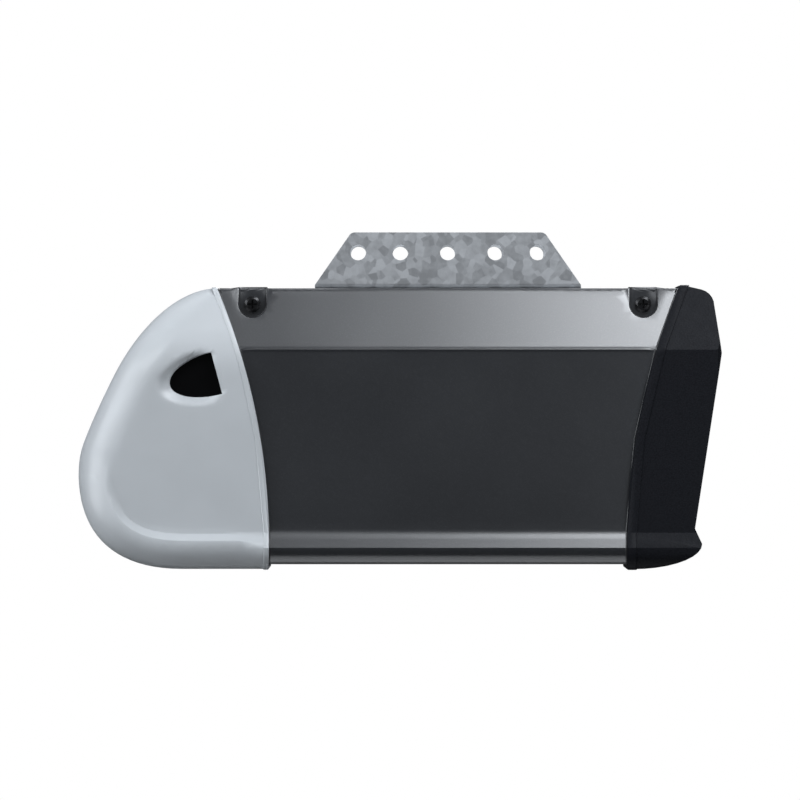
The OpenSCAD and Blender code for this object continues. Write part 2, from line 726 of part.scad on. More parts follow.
module motor_bushes() {
    color("darkgoldenrod") on_motor_axis() for (span = [[bell_end_x, bell_end_x + 7],
            [-leg_x - leg_t - 7, -leg_x - leg_t], [leg_x - 2, leg_x + leg_t + 3]])
        difference() {
            union() {
                rod_x(bush_r, span[0], span[1], 0, 0);
                if (span[0] > 0) rod_x(bush_r + 2.5, span[0], leg_x, 0, 0);
            }
            rod_x(motor_shaft_d / 2 + run_gap, span[0] - 1, span[1] + 1, 0, 0);
        }
}

module rotor_core() {
    color("lightgray") on_motor_axis() difference() {
        rod_x(rotor_d / 2, stack_x0 + 1, stack_x1 - 1, 0, 0);
        rod_x(motor_shaft_d / 2, stack_x0, stack_x1, 0, 0);
    }
}

module motor_shaft() {
    color("silver") on_motor_axis() rod_x(motor_shaft_d / 2, shaft_end_x, leg_x + 5, 0, 0);
}

module worm() {
    turns = worm_l / lead;
    steps = 24;
    color("burlywood") on_motor_axis() difference() {
        translate([-worm_l / 2, 0, 0]) rotate([0, 90, 0]) rotate(-180 * turns)
            linear_extrude(worm_l, twist = -360 * turns, slices = ceil(turns * 16), $fn = steps)
                polygon([for (i = [0:steps - 1]) let (a = i * 360 / steps) worm_radius(a) * [cos(a), sin(a)]]);
        rod_x(motor_shaft_d / 2, -worm_l, worm_l, 0, 0);
    }
}
module interrupter_disc() {
    color([0.1, 0.1, 0.1]) on_motor_axis() difference() {
        union() {
            rod_x(14, disc_x, disc_x + 1, 0, 0);
            rod_x(7, shaft_end_x, disc_x + 3, 0, 0);
        }
        rod_x(motor_shaft_d / 2, shaft_end_x - 1, 0, 0, 0);
        for (i = [0:4]) rotate([i * 72, 0, 0]) block([disc_x - 1, 9.5, -2], [disc_x + 2, 12.5, 2]);
    }
}

module speed_sensor() {
    color([0.08, 0.08, 0.08]) on_motor_axis() difference() {
        block([disc_x - 3, -3, 8.5], [bell_end_x, 3, 20]);
        block([disc_x - 1, -4, 8], [disc_x + 2, 4, 15.5]);
    }
}

// Gear train ------------------------------------------------------------------------------------

module gear_bracket() {
    y0 = -26;
    y1 = motor_y + 14;
    floor_top = bracket_floor_z + leg_t;
    color("silver") difference() {
        union() {
            block([-leg_x - leg_t, y0, bracket_floor_z], [leg_x + leg_t, y1, floor_top]);
            both_ends() {
                block([leg_x, y0, bracket_floor_z], [leg_x + leg_t, y1, -plate_t]);
                block([leg_x, y0, -plate_t - leg_t], [leg_x + leg_t + 14, y1 - 26, -plate_t]);
            }
        }
        rod_x(bush_r, -far, far, motor_y, gear_z);
        on_motor_axis() four_bolts() rod_x(bolt_d / 2, -far, 0, 0, 0);
        rod_z(shaft_bush_r, -far, gear_z);
        for (p = bracket_screws) rod_z(screw_d / 2, -20, 0, p[0], p[1]);
    }
}

module drive_gear() {
    twist = -gear_w * tan(lead_angle) / gear_r * 180 / PI;
    phase = 90 + 180 / gear_teeth;            // puts a tooth gap opposite the worm's thread
    color("antiquewhite") difference() {
        union() {
            translate([0, 0, gear_z - gear_w / 2]) rotate(phase + twist / 2)
                linear_extrude(gear_w, twist = twist, slices = 4, $fn = 32)
                    polygon(gear_points(gear_teeth, worm_module, backlash, addendum, dedendum));
            rod_z(12.5, gear_z - 11, gear_z + 11);
        }
        rod_z(sprocket_shaft_d / 2, -far, far);
        rotate([0, 90, 0]) translate([-gear_z - 8.5, 0, -20]) cylinder(d = 4, h = 40);
    }
}
module sprocket_shaft() {
    color("silver") difference() {
        rod_z(sprocket_shaft_d / 2, travel_z - 4, hub_top_z + 0.4);
        for (z = pin_z) rod_x(2, -20, 20, 0, z);
    }
}
pin_z = [gear_z + 8.5, housing_t + 4.2];

module sprocket_pins() {
    color("gray") {
        rod_x(2, -12, 12, 0, pin_z[0]);
        rod_x(2, -10, 10, 0, pin_z[1]);
    }
}

module shaft_bushes() {
    color("darkgoldenrod") for (span = [[-13, housing_t + 1], [bracket_floor_z - 3, gear_z - 11.4]])
        difference() {
            rod_z(shaft_bush_r, span[0], span[1]);
            rod_z(sprocket_shaft_d / 2 + run_gap, span[0] - 1, span[1] + 1);
        }
}

module bearing_housing() {
    color("lightslategray") difference() {
        union() {
            rod_z(housing_r, 0, housing_t);
            rod_z(13, -13, housing_t);
        }
        rod_z(shaft_bush_r, -far, far);
        for (p = screw_places_z) rod_z(screw_d / 2, -far, far, p[0], p[1]);
    }
}

module sprocket() {
    seat_r = roller_d / 2 + 0.12;
    color("slategray") difference() {
        union() {
            translate([0, 0, sprocket_z]) linear_extrude(sprocket_t) difference() {
                circle(pitch_r + 3.1);
                for (i = [0:sprocket_teeth - 1]) rotate((i + 0.5) * 360 / sprocket_teeth) {
                    translate([pitch_r, 0]) circle(seat_r);
                    polygon([[pitch_r - 1, -seat_r + 0.6], [pitch_r - 1, seat_r - 0.6],
                             [pitch_r + 6, seat_r + 2.4], [pitch_r + 6, -seat_r - 2.4]]);
                }
            }
            rod_z(10, housing_t + 1.6, hub_top_z);
        }
        rod_z(sprocket_shaft_d / 2, -far, far);
        rod_x(2, -20, 20, 0, pin_z[1]);
    }
}

module travel_case() {
    x0 = -14;
    x1 = travel_dx + travel_module * travel_large / 2 + 5;
    y1 = travel_module * travel_large / 2 + 5;
    z0 = travel_z - 7;
    color([0.15, 0.3, 0.2]) difference() {
        union() {
            difference() {
                block([x0, -y1, z0], [x1, y1, bracket_floor_z]);
                block([x0 + 2, -y1 + 2, z0 + 2], [x1 - 2, y1 - 2, bracket_floor_z + 1]);
            }
            rod_z(2, z0 + 1, travel_z + 4, travel_dx, 0);
            rod_z(4, z0 + 1, travel_z - 2.2, travel_dx, 0);
        }
        block([x0 + 3, -y1 - 1, z0 + 8], [x0 + 13, -y1 + 3, z0 + 12]);
    }
}

module travel_pinion() {
    color("white") translate([0, 0, travel_z - 2]) linear_extrude(4) difference() {
        polygon(gear_points(travel_small, travel_module, 0.35, 0.9, 1.25));
        circle(sprocket_shaft_d / 2);
    }
}

module travel_gear() {
    color("white") translate([travel_dx, 0, travel_z - 2]) linear_extrude(4) difference() {
        rotate(travel_large % 2 == 0 ? 180 / travel_large : 0)
            polygon(gear_points(travel_large, travel_module, 0.35, 0.9, 1.25));
        circle(2 + run_gap);
    }
}

// Electrical parts ------------------------------------------------------------------------------

capacitor_x0 = panel_x + panel_t + 9;
capacitor_y = -(chassis_y - plate_t - capacitor_d / 2 - 1.5);
capacitor_z = -plate_t - capacitor_d / 2 - 4;

module run_capacitor() {
    x1 = capacitor_x0 + capacitor_l;
    color("lightgray") {
        rod_x(capacitor_d / 2, capacitor_x0, x1, capacitor_y, capacitor_z);
        rod_x(capacitor_d / 2 - 3, x1, x1 + 1.5, capacitor_y, capacitor_z);
        for (s = [-1, 1]) translate([x1 + 1.5, capacitor_y + s * 6, capacitor_z])
            block([0, -3, -0.4], [8, 3, 0.4]);
    }
}

module capacitor_clamp() {
    mid_x = capacitor_x0 + capacitor_l / 2;
    r = capacitor_d / 2;
    color("silver") difference() {
        union() {
            rod_x(r + 1, mid_x - 7, mid_x + 7, capacitor_y, capacitor_z);
            block([mid_x - 7, capacitor_y - 8, capacitor_z], [mid_x + 7, capacitor_y + 8, -plate_t]);
        }
        rod_x(r, mid_x - 8, mid_x + 8, capacitor_y, capacitor_z);
    }
}

transformer_x = end_flange_x - plate_t - 74;

module transformer() {
    y = -38;
    color("dimgray") {
        block([transformer_x, y - 22, -plate_t - 36], [transformer_x + 36, y + 22, -plate_t]);
        block([transformer_x - 8, y - 13, -plate_t - 31], [transformer_x, y + 13, -plate_t - 5]);
        block([transformer_x + 36, y - 13, -plate_t - 31], [transformer_x + 44, y + 13, -plate_t - 5]);
    }
}

board_mid_z = (board_boss_z[0] + board_boss_z[1]) / 2;

module logic_board() {
    color("darkgreen") difference() {
        block([board_x - board_t, -board_w / 2, board_mid_z - board_h / 2],
              [board_x, board_w / 2, board_mid_z + board_h / 2]);
        for (z = board_boss_z) front_and_back() rod_x(screw_d / 2, 0, far, board_boss_y, z);
    }
}

module board_parts() {
    back = board_x - board_t;
    color([0.12, 0.12, 0.12]) {
        for (y = [-44, -26]) block([back - 16, y, board_mid_z + 8], [back, y + 14, board_mid_z + 28]);
        block([back - 9, 6, board_mid_z + 14], [back, 44, board_mid_z + 24]);
        block([back - 2.5, -6, board_mid_z - 22], [back, 10, board_mid_z - 6]);
        for (y = [22, 34, 46]) rod_x(4.5, back - 14, back, y, board_mid_z - 14);
        for (z = button_z) block([board_x, button_y - 3, z - 3], [board_x + 4, button_y + 3, z + 3]);
        block([board_x, learn_y - 3, button_z[2] - 3], [board_x + 4, learn_y + 3, button_z[2] + 3]);
    }
}

module board_screws() {
    color("silver") for (z = board_boss_z) front_and_back()
        translate([board_x - board_t, board_boss_y, z]) rotate([0, -90, 0]) cross_screw(board_t + 7, 8);
}

// Control end -----------------------------------------------------------------------------------

// The end cap as a closed form, moved in from its outside by a wall.
module cap_form(inset) {
    corner_r = 14 - inset;
    wide = side_y + bead_out + cap_out - inset;
    long = cap_crease_x - inset;
    intersection() {
        along_y(-far / 2, far / 2) offset(delta = -inset) polygon(cap_outline);
        along_x(0, far) polygon(body_section(cap_out - inset, cap_top_z - inset, cap_z + inset));
        translate([0, 0, -far]) linear_extrude(2 * far) {
            translate([0, -wide + corner_r]) square([long, 2 * (wide - corner_r)]);
            translate([0, -wide]) square([long - corner_r, 2 * wide]);
            for (s = [-1, 1]) translate([long - corner_r, s * (wide - corner_r)]) circle(corner_r);
        }
    }
}

// The closed form of the end cap, cut off at its seam with the cover.
module cap_side() {
    intersection() {
        cap_form(0);
        mirror([1, 0, 0]) lens_side(0);
    }
}

module recess_block(grow, x0) {
    block([x0, -recess_w / 2 - grow, recess_top_z - recess_h - grow], [far, recess_w / 2 + grow, recess_top_z + grow]);
}

module end_cap() {
    boss_r = 4.5;
    color([0.07, 0.07, 0.07]) difference() {
        union() {
            difference() {
                cap_side();
                cap_form(cap_wall);
            }
            intersection() {
                cap_side();
                union() {
                    recess_block(cap_wall, floor_x);
                    for (z = board_boss_z) front_and_back() rod_x(boss_r, board_x, far, board_boss_y, z);
                    front_and_back() rod_x(7.4, end_flange_x, far, cap_screw_y, cap_screw_z);
                    rod_x(gland_bore_d / 2 + 6, cap_crease_x - 16, far, gland_y, gland_z);
                }
            }
        }
        recess_block(0, recess_x);
        for (z = board_boss_z) front_and_back() rod_x(screw_d / 2, 0, board_x + 8, board_boss_y, z);
        front_and_back() {
            rod_x(5.2, end_flange_x + 4, far, cap_screw_y, cap_screw_z);
            rod_x(screw_d / 2, 0, far, cap_screw_y, cap_screw_z);
            for (i = [0:6]) block([recess_x - 8, recess_w / 2 + 9, recess_top_z - 12 - i * 9],
                                  [far, recess_w / 2 + 29, recess_top_z - 9 - i * 9]);
        }
        for (z = button_z) rod_square(adjust_a / 2 + button_gap, button_y, z);
        rod_x(learn_d / 2 + button_gap, 0, far, learn_y, button_z[2]);
        for (z = [button_z[0], button_z[0] - 12]) rod_x(2.5, 0, far, learn_y, z);
        block([floor_x - 1, terminal_y - 3, terminal_z - 4], [far, terminal_y + 4 * lever_pitch + 1, terminal_z + 20]);
        rod_x(gland_bore_d / 2 + 3, 0, far, gland_y, gland_z);
        rod_x(gland_rim_r + 2 * run_gap, gland_x - 1.4, far, gland_y, gland_z);
        rod_x(2, 0, far, -recess_w / 2 + 12, recess_top_z - recess_h + 8);
    }
}

// Square bar along X through the control panel.
module rod_square(half, y, z) { block([0, y - half, z - half], [far, y + half, z + half]); }

// Square adjustment button with a raised mark; direction is +1 up, -1 down, 0 for a plain bar.
module adjust_button(z, direction) {
    face_x = recess_x + 1.6;
    a = adjust_a / 2;
    translate([0, button_y, z]) {
        block([floor_x - 2, -a, -a], [face_x, a, a]);
        block([floor_x - 3.4, -a - 1.5, -a - 1.5], [floor_x - 2 + 0.4, a + 1.5, a + 1.5]);
        block([board_x + 4.1 + button_travel, -1.5, -1.5], [floor_x - 3, 1.5, 1.5]);
        along_x(face_x - 0.2, face_x + 0.4)
            if (direction == 0) translate([-a * 0.5, -a * 0.25]) square([a, a * 0.5]);
            else polygon(a * [[-0.55, -0.35 * direction], [0.55, -0.35 * direction], [0, 0.5 * direction]]);
    }
}

module button_up() { color("dimgray") adjust_button(button_z[0], 1); }

module button_adjust() { color("dimgray") adjust_button(button_z[1], 0); }

module button_down() { color("dimgray") adjust_button(button_z[2], -1); }

module button_learn() {
    color("gold") {
        rod_x(learn_d / 2, floor_x - 2, recess_x + 1.6, learn_y, button_z[2]);
        rod_x(learn_d / 2 + 1.5, floor_x - 3.4, floor_x - 1.6, learn_y, button_z[2]);
        rod_x(1.5, board_x + 4.1 + button_travel, floor_x - 3, learn_y, button_z[2]);
    }
}

module status_leds() {
    color("palegreen") for (z = [button_z[0], button_z[0] - 12]) {
        rod_x(2.5, board_x, recess_x + 1, learn_y, z);
    }
}

module terminal_block() {
    y1 = terminal_y + 4 * lever_pitch - 2;
    color("whitesmoke") difference() {
        block([board_x, terminal_y - 2.6, terminal_z - 3.6], [recess_x + 3, y1 + 2.6, terminal_z + 19.6]);
        for (i = [0:3]) {
            block([board_x + 6, terminal_y + i * lever_pitch - 0.3, terminal_z + 7.7],
                  [far, terminal_y + i * lever_pitch + lever_w + 0.3, terminal_z + 17.3]);
            rod_x(1.6, board_x + 6, far, terminal_y + i * lever_pitch + lever_w / 2, terminal_z + 1.4);
        }
    }
}

// Push tab of one terminal, first to fourth across the block.
module terminal_lever(i) {
    y = terminal_y + i * lever_pitch;
    block([board_x + 7.6, y, terminal_z + 8], [recess_x + 4.6, y + lever_w, terminal_z + 17]);
}

module terminal_lever_a() { color("firebrick") terminal_lever(0); }

module terminal_lever_b() { color("white") terminal_lever(1); }

module terminal_lever_c() { color("white") terminal_lever(2); }

module terminal_lever_d() { color("gray") terminal_lever(3); }

module cord_gland() {
    color([0.1, 0.1, 0.1]) difference() {
        union() {
            rod_x(gland_bore_d / 2 + 3, cap_crease_x - 19, gland_x, gland_y, gland_z);
            rod_x(gland_rim_r, gland_x - 1.4, gland_x + 1.2, gland_y, gland_z);
            rod_x(gland_bore_d / 2 + 5, cap_crease_x - 19, cap_crease_x - 16.2, gland_y, gland_z);
        }
        rod_x(gland_bore_d / 2, 0, far, gland_y, gland_z);
    }
}

// Internal wiring: each lead is a tube swept along hand-chosen points -----------------------------

lead_r = 1.4;
lead_routes = [
    [[board_x - board_t - 9.4, 20, board_mid_z + 19], [104, 20, board_mid_z + 19], [96, 18, -84], [78, 14, -66],
     [58, 4, -46], [48, -20, -38], [30, -40, -24], [8, -48, -18], [-14, -54, -20],
     [capacitor_x0 + capacitor_l + 10.9, capacitor_y + 6, capacitor_z]],
    [[board_x - board_t - 9.4, 32, board_mid_z + 19], [100, 32, board_mid_z + 19], [84, 30, -102], [50, 20, -112],
     [10, 4, -118], [-30, 0, -lamp_z], [socket_x1 + 4.4, 0, -lamp_z]]];

function direction_at(p, i) = let (d = p[min(i + 1, len(p) - 1)] - p[max(i - 1, 0)]) d / norm(d);

function ring(p, d, n) = let (side = cross(d, [0.1, 0.2, 1]), u = side / norm(side), v = cross(d, u))
    [for (k = [0:n - 1]) p + lead_r * (u * cos(360 * k / n) + v * sin(360 * k / n))];

module lead_tube(p) {
    n = 8;
    last = len(p) - 1;
    polyhedron(
        points = [for (i = [0:last]) each ring(p[i], direction_at(p, i), n)],
        faces = concat([[for (k = [0:n - 1]) k]], [[for (k = [n - 1:-1:0]) last * n + k]],
            [for (i = [0:last - 1], k = [0:n - 1]) let (a = i * n + k, b = i * n + (k + 1) % n)
                each [[a, a + n, b], [b, a + n, b + n]]]));
}

module wiring() { color([0.1, 0.1, 0.1]) for (route = lead_routes) lead_tube(route); }

chassis_plate();
hanging_flange_front();
hanging_flange_back();
flange_rivets();
rail_studs();
steel_cover();
cover_screws();
chassis_screws();
lens();
lens_hinge_pins();
lamp_panel();
release_tab_front();
release_tab_back();
tab_pins();
lamp_socket();
socket_shell();
socket_contact();
bulb_glass();
bulb_base();
stator_stack();
stator_windings();
motor_bell_front();
motor_bell_rear();
motor_bolts();
motor_bushes();
rotor_core();
motor_shaft();
worm();
interrupter_disc();
speed_sensor();
gear_bracket();
drive_gear();
sprocket_shaft();
shaft_bushes();
bearing_housing();
sprocket();
sprocket_pins();
travel_case();
travel_pinion();
travel_gear();
run_capacitor();
capacitor_clamp();
transformer();
logic_board();
board_parts();
board_screws();
end_cap();
button_up();
button_adjust();
button_down();
button_learn();
status_leds();
terminal_block();
terminal_lever_a();
terminal_lever_b();
terminal_lever_c();
terminal_lever_d();
cord_gland();
wiring();
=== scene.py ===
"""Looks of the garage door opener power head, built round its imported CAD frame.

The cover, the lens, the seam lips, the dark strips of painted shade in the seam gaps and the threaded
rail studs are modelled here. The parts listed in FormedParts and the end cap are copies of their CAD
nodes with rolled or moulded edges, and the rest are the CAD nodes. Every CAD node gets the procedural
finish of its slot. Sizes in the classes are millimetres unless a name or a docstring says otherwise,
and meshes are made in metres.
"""

import json
import logging
import math
from collections.abc import Callable, Sequence
from dataclasses import dataclass, field
from enum import Enum

import bmesh
import bpy
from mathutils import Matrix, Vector
from mathutils.geometry import delaunay_2d_cdt, interpolate_bezier


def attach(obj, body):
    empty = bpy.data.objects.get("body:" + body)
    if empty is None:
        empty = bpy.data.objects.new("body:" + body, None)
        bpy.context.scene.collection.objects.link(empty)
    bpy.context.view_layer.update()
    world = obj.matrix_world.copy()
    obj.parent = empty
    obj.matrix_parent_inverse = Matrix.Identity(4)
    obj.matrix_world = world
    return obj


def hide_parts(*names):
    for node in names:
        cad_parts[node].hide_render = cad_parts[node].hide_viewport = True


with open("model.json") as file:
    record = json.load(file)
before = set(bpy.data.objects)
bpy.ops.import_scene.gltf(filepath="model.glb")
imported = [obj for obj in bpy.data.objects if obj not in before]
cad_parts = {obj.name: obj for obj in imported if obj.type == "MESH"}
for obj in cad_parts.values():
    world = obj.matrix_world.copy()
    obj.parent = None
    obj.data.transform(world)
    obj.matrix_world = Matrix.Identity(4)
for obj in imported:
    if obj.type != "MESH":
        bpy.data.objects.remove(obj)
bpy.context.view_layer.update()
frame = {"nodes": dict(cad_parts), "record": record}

LOG = logging.getLogger("power_head")
MM = 0.001
SHARP_DEG = 32  # a made surface is shaded smooth where it turns by less than this
Colour = tuple[float, float, float]
Point = tuple[float, float]


class Slot(Enum):
    """The record's material slots."""

    GALVANISED = "galvanised"
    CHARCOAL = "charcoal_paint"
    ZINC_SCREW = "zinc_screw"
    BLACK_SCREW = "black_screw"
    LENS = "lens_plastic"
    WHITE = "white_plastic"
    GLOSS = "black_gloss"
    GRAIN = "black_grain"
    BULB = "glass_bulb"
    BRASS = "brass"
    STEEL = "steel"
    LAMINATIONS = "laminations"
    COPPER = "copper"
    CAST = "cast_alloy"
    GEAR = "gear_plastic"
    BOARD = "circuit_board"
    DARK = "dark_part"
    GREY_BUTTON = "grey_button"
    YELLOW_BUTTON = "yellow_button"
    PIPE = "light_pipe"
    RED_LEVER = "red_lever"
    GREEN = "green_case"


class Side(Enum):
    """Front or back of the object, as the sign of Y."""

    FRONT = -1
    BACK = 1


class Shader:
    """A node material while it is being wired."""

    def __init__(self, name: str) -> None:
        """Starts a material with its Principled shader and the piece's own coordinates.

        Args:
            name: The material's name.
        """
        self.material = bpy.data.materials.new(name)
        self.material.use_nodes = True
        self.tree = self.material.node_tree
        self.surface = self.tree.nodes["Principled BSDF"]
        self.places = self.tree.nodes.new("ShaderNodeTexCoord").outputs["Object"]

    def node(self, kind: str, inputs: dict[str, object], **settings: object) -> bpy.types.Node:
        """Adds a node.

        Args:
            kind: The node's type, without its ShaderNode prefix.
            inputs: A number, colour or socket for each input that is set.
            settings: The node's own settings.

        Returns:
            The new node.
        """
        made = self.tree.nodes.new("ShaderNode" + kind)
        for name, value in settings.items():
            setattr(made, name, value)
        for name, value in inputs.items():
            if isinstance(value, bpy.types.NodeSocket):
                self.tree.links.new(value, made.inputs[name])
            else:
                made.inputs[name].default_value = value
        return made

    def stretched(self, stretch: tuple[float, float, float]) -> bpy.types.NodeSocket:
        """The piece's coordinates, stretched along its axes."""
        return self.node("Mapping", {"Vector": self.places, "Scale": stretch}).outputs[0]

    def noise(self, size_mm: float, detail: float = 3.0,
              stretch: tuple[float, float, float] = (1.0, 1.0, 1.0)) -> bpy.types.NodeSocket:
        """Cloudy noise.

        Args:
            size_mm: Size of its features.
            detail: Octaves of finer noise on top.
            stretch: Scale along each axis.

        Returns:
            A value round 0.5.
        """
        inputs = {"Vector": self.stretched(stretch), "Scale": 1 / (size_mm * MM), "Detail": detail}
        return self.node("TexNoise", inputs).outputs["Fac"]

    def cells(self, size_mm: float, output: str = "Distance") -> bpy.types.NodeSocket:
        """Cells with sharp borders, as of crystals or of leather grain."""
        inputs = {"Vector": self.places, "Scale": 1 / (size_mm * MM)}
        return self.node("TexVoronoi", inputs).outputs[output]

    def bands(self, size_mm: float, axis: str, distortion: float = 0.0) -> bpy.types.NodeSocket:
        """Parallel bands across an axis, X, Y or Z."""
        inputs = {"Vector": self.places, "Scale": 0.314 / (size_mm * MM), "Distortion": distortion}
        return self.node("TexWave", inputs, bands_direction=axis).outputs["Fac"]

    def spread(self, value: bpy.types.NodeSocket, low: float, high: float,
               start: float = 0.3, stop: float = 0.7) -> bpy.types.NodeSocket:
        """Maps a value from the range start to stop onto low to high."""
        inputs = {"Value": value, "From Min": start, "From Max": stop, "To Min": low, "To Max": high}
        return self.node("MapRange", inputs).outputs[0]

    def mix(self, share: bpy.types.NodeSocket, first: object, second: object) -> bpy.types.NodeSocket:
        """Mixes two colours, each a tuple or a socket, by a share.

        Args:
            share: Socket of the second colour's share, from 0 to 1.
            first: The colour at a share of 0.
            second: The colour at a share of 1.

        Returns:
            The socket of the mixed colour.
        """
        made = self.tree.nodes.new("ShaderNodeMix")
        made.data_type = "RGBA"
        self.tree.links.new(share, made.inputs[0])
        for place, value in ((6, first), (7, second)):
            if isinstance(value, bpy.types.NodeSocket):
                self.tree.links.new(value, made.inputs[place])
            else:
                made.inputs[place].default_value = (*value, 1.0)
        return made.outputs[2]

    def use(self, name: str, value: object) -> None:
        """Sets or links one input of the Principled shader.

        Args:
            name: The input's name.
            value: A socket to link, a colour, or a number.
        """
        if isinstance(value, bpy.types.NodeSocket):
            self.tree.links.new(value, self.surface.inputs[name])
        elif isinstance(value, tuple):
            self.surface.inputs[name].default_value = (*value, 1.0)
        else:
            self.surface.inputs[name].default_value = value

    def bump(self, height: bpy.types.NodeSocket, depth_mm: float, strength: float = 1.0,
             under: bpy.types.NodeSocket | None = None) -> bpy.types.NodeSocket:
        """Bumps the surface.

        Args:
            height: The height, from 0 to 1.
            depth_mm: Depth of a full step.
            strength: Share of the bump that shows.
            under: A coarser bump that this one lies on.

        Returns:
            The bumped normal.
        """
        inputs: dict[str, object] = {"Height": height, "Distance": depth_mm * MM, "Strength": strength}
        if under is not None:
            inputs["Normal"] = under
        return self.node("Bump", inputs).outputs[0]


def shade(colour: Colour, factor: float) -> Colour:
    """A colour made lighter or darker by a factor."""
    return tuple(min(1.0, c * factor) for c in colour)


@dataclass(frozen=True)
class Finish:
    """A plain moulded or painted finish with mottling, worn roughness and a fine skin."""

    slot: Slot
    colour: Colour
    roughness: float = 0.5
    metallic: float = 0.0
    coat: float = 0.0
    specular: float = 0.5
    mottle: float = 0.12
    mottle_mm: float = 14.0
    skin_mm: float = 0.6
    skin_depth_mm: float = 0.02
    coat_roughness: float = 0.3

    def tones(self) -> tuple[Colour, Colour]:
        """The darker and the lighter tone that the mottling runs between."""
        return shade(self.colour, 1 - self.mottle), shade(self.colour, 1 + self.mottle)

    def wire(self, shader: Shader) -> None:
        """Wires the colour, roughness and bump.

        Args:
            shader: The material being built.
        """
        cloud = shader.noise(self.mottle_mm, 4.0)
        shader.use("Base Color", shader.mix(shader.spread(cloud, 0.0, 1.0), *self.tones()))
        wear = shader.noise(self.mottle_mm / 3)
        shader.use("Roughness", shader.spread(wear, self.roughness * 0.88, self.roughness * 1.12))
        shader.use("Normal", shader.bump(shader.noise(self.skin_mm), self.skin_depth_mm))

    def material(self) -> bpy.types.Material:
        """Builds the finish as a node material.

        Returns:
            The material, named after its slot.
        """
        shader = Shader(self.slot.value)
        shader.use("Metallic", self.metallic)
        shader.use("Coat Weight", self.coat)
        shader.use("Coat Roughness", self.coat_roughness)
        shader.use("Specular IOR Level", self.specular)
        self.wire(shader)
        return shader.material


@dataclass(frozen=True)
class Spangle(Finish):
    """Hot-dip galvanised sheet: zinc crystals of several greys."""

    crystal_mm: float = 5.0

    def wire(self, shader: Shader) -> None:
        """Wires crystals, clouds of oxide and a rolled skin.

        Args:
            shader: The material being built.
        """
        crystals = shader.cells(self.crystal_mm, "Color")
        grey = shader.node("SeparateColor", {"Color": crystals}).outputs[0]
        cloud = shader.noise(3.2, 5.0)
        both = shader.node("Math", {0: grey, 1: cloud}, operation="ADD").outputs[0]
        shader.use("Base Color", shader.mix(shader.spread(both, 0.0, 1.0, 0.5, 1.5), *self.tones()))
        shader.use("Roughness", shader.spread(both, self.roughness * 0.8, self.roughness * 1.2, 0.4, 1.6))
        shader.use("Normal", shader.bump(cloud, self.skin_depth_mm))


@dataclass(frozen=True)
class Leather(Finish):
    """Moulded plastic with a fine leather grain."""

    grain_mm: float = 0.9
    grain_depth_mm: float = 0.07

    def wire(self, shader: Shader) -> None:
        """Wires grain cells on a cloudy colour.

        Args:
            shader: The material being built.
        """
        cells = shader.cells(self.grain_mm)
        shader.use("Base Color", shader.mix(shader.spread(cells, 1.0, 0.0, 0.1, 0.8), *self.tones()))
        shader.use("Roughness", shader.spread(shader.noise(6.0), self.roughness * 0.9, self.roughness * 1.1))
        coarse = shader.bump(shader.noise(2.6), self.grain_depth_mm)
        shader.use("Normal", shader.bump(cells, self.grain_depth_mm, 0.8, coarse))


@dataclass(frozen=True)
class Satin(Finish):
    """Satin paint with metal flake on steel sheet."""

    flake_mm: float = 0.35
    flake_share: float = 0.06
    flake_colour: Colour = (0.3, 0.31, 0.33)

    def wire(self, shader: Shader) -> None:
        """Wires flake, a slow drift of tone and orange peel.

        Args:
            shader: The material being built.
        """
        flake = shader.cells(self.flake_mm, "Color")
        grey = shader.node("SeparateColor", {"Color": flake}).outputs[0]
        drift = shader.noise(60.0, 2.0)
        base = shader.mix(shader.spread(drift, 0.0, 1.0), *self.tones())
        share = shader.spread(grey, 0.0, self.flake_share, 0.7, 1.0)
        shader.use("Base Color", shader.mix(share, base, self.flake_colour))
        shader.use("Roughness", shader.spread(drift, self.roughness * 0.94, self.roughness * 1.06))
        shader.use("Normal", shader.bump(shader.noise(1.6, 2.0), self.skin_depth_mm))


@dataclass(frozen=True)
class Frosted(Finish):
    """Translucent diffuser plastic: light spreads a little way inside it."""

    scatter: float = 0.25
    scatter_mm: float = 4.0

    def wire(self, shader: Shader) -> None:
        """Adds scattering below a frosted skin.

        Args:
            shader: The material being built.
        """
        super().wire(shader)
        shader.use("Subsurface Weight", self.scatter)
        shader.use("Subsurface Scale", self.scatter_mm * MM)
        shader.surface.inputs["Subsurface Radius"].default_value = (1.0, 1.0, 1.0)


@dataclass(frozen=True)
class Banded(Finish):
    """Metal with fine parallel bands: stacked laminations, windings or turning marks."""

    band_mm: float = 0.5
    axis: str = "X"
    distortion: float = 0.0
    band_depth_mm: float = 0.1

    def wire(self, shader: Shader) -> None:
        """Wires bands in colour and in bump.

        Args:
            shader: The material being built.
        """
        bands = shader.bands(self.band_mm, self.axis, self.distortion)
        shader.use("Base Color", shader.mix(bands, *self.tones()))
        wear = shader.noise(4.0)
        shader.use("Roughness", shader.spread(wear, self.roughness * 0.85, self.roughness * 1.15))
        shader.use("Normal", shader.bump(bands, self.band_depth_mm))


@dataclass(frozen=True)
class Board(Finish):
    """Solder mask over copper tracks."""

    track_mm: float = 5.0
    track_depth_mm: float = 0.035

    def wire(self, shader: Shader) -> None:
        """Wires squared tracks under the mask.

        Args:
            shader: The material being built.
        """
        inputs = {"Vector": shader.places, "Scale": 1 / (self.track_mm * MM)}
        squares = shader.node("TexVoronoi", inputs, distance="CHEBYCHEV", feature="DISTANCE_TO_EDGE")
        tracks = squares.outputs[0]
        share = shader.spread(tracks, 1.0, 0.0, 0.05, 0.1)
        shader.use("Base Color", shader.mix(share, self.colour, shade(self.colour, 2.2)))
        shader.use("Roughness", shader.spread(shader.noise(3.0), 0.3, 0.42))
        shader.use("Normal", shader.bump(share, self.track_depth_mm))


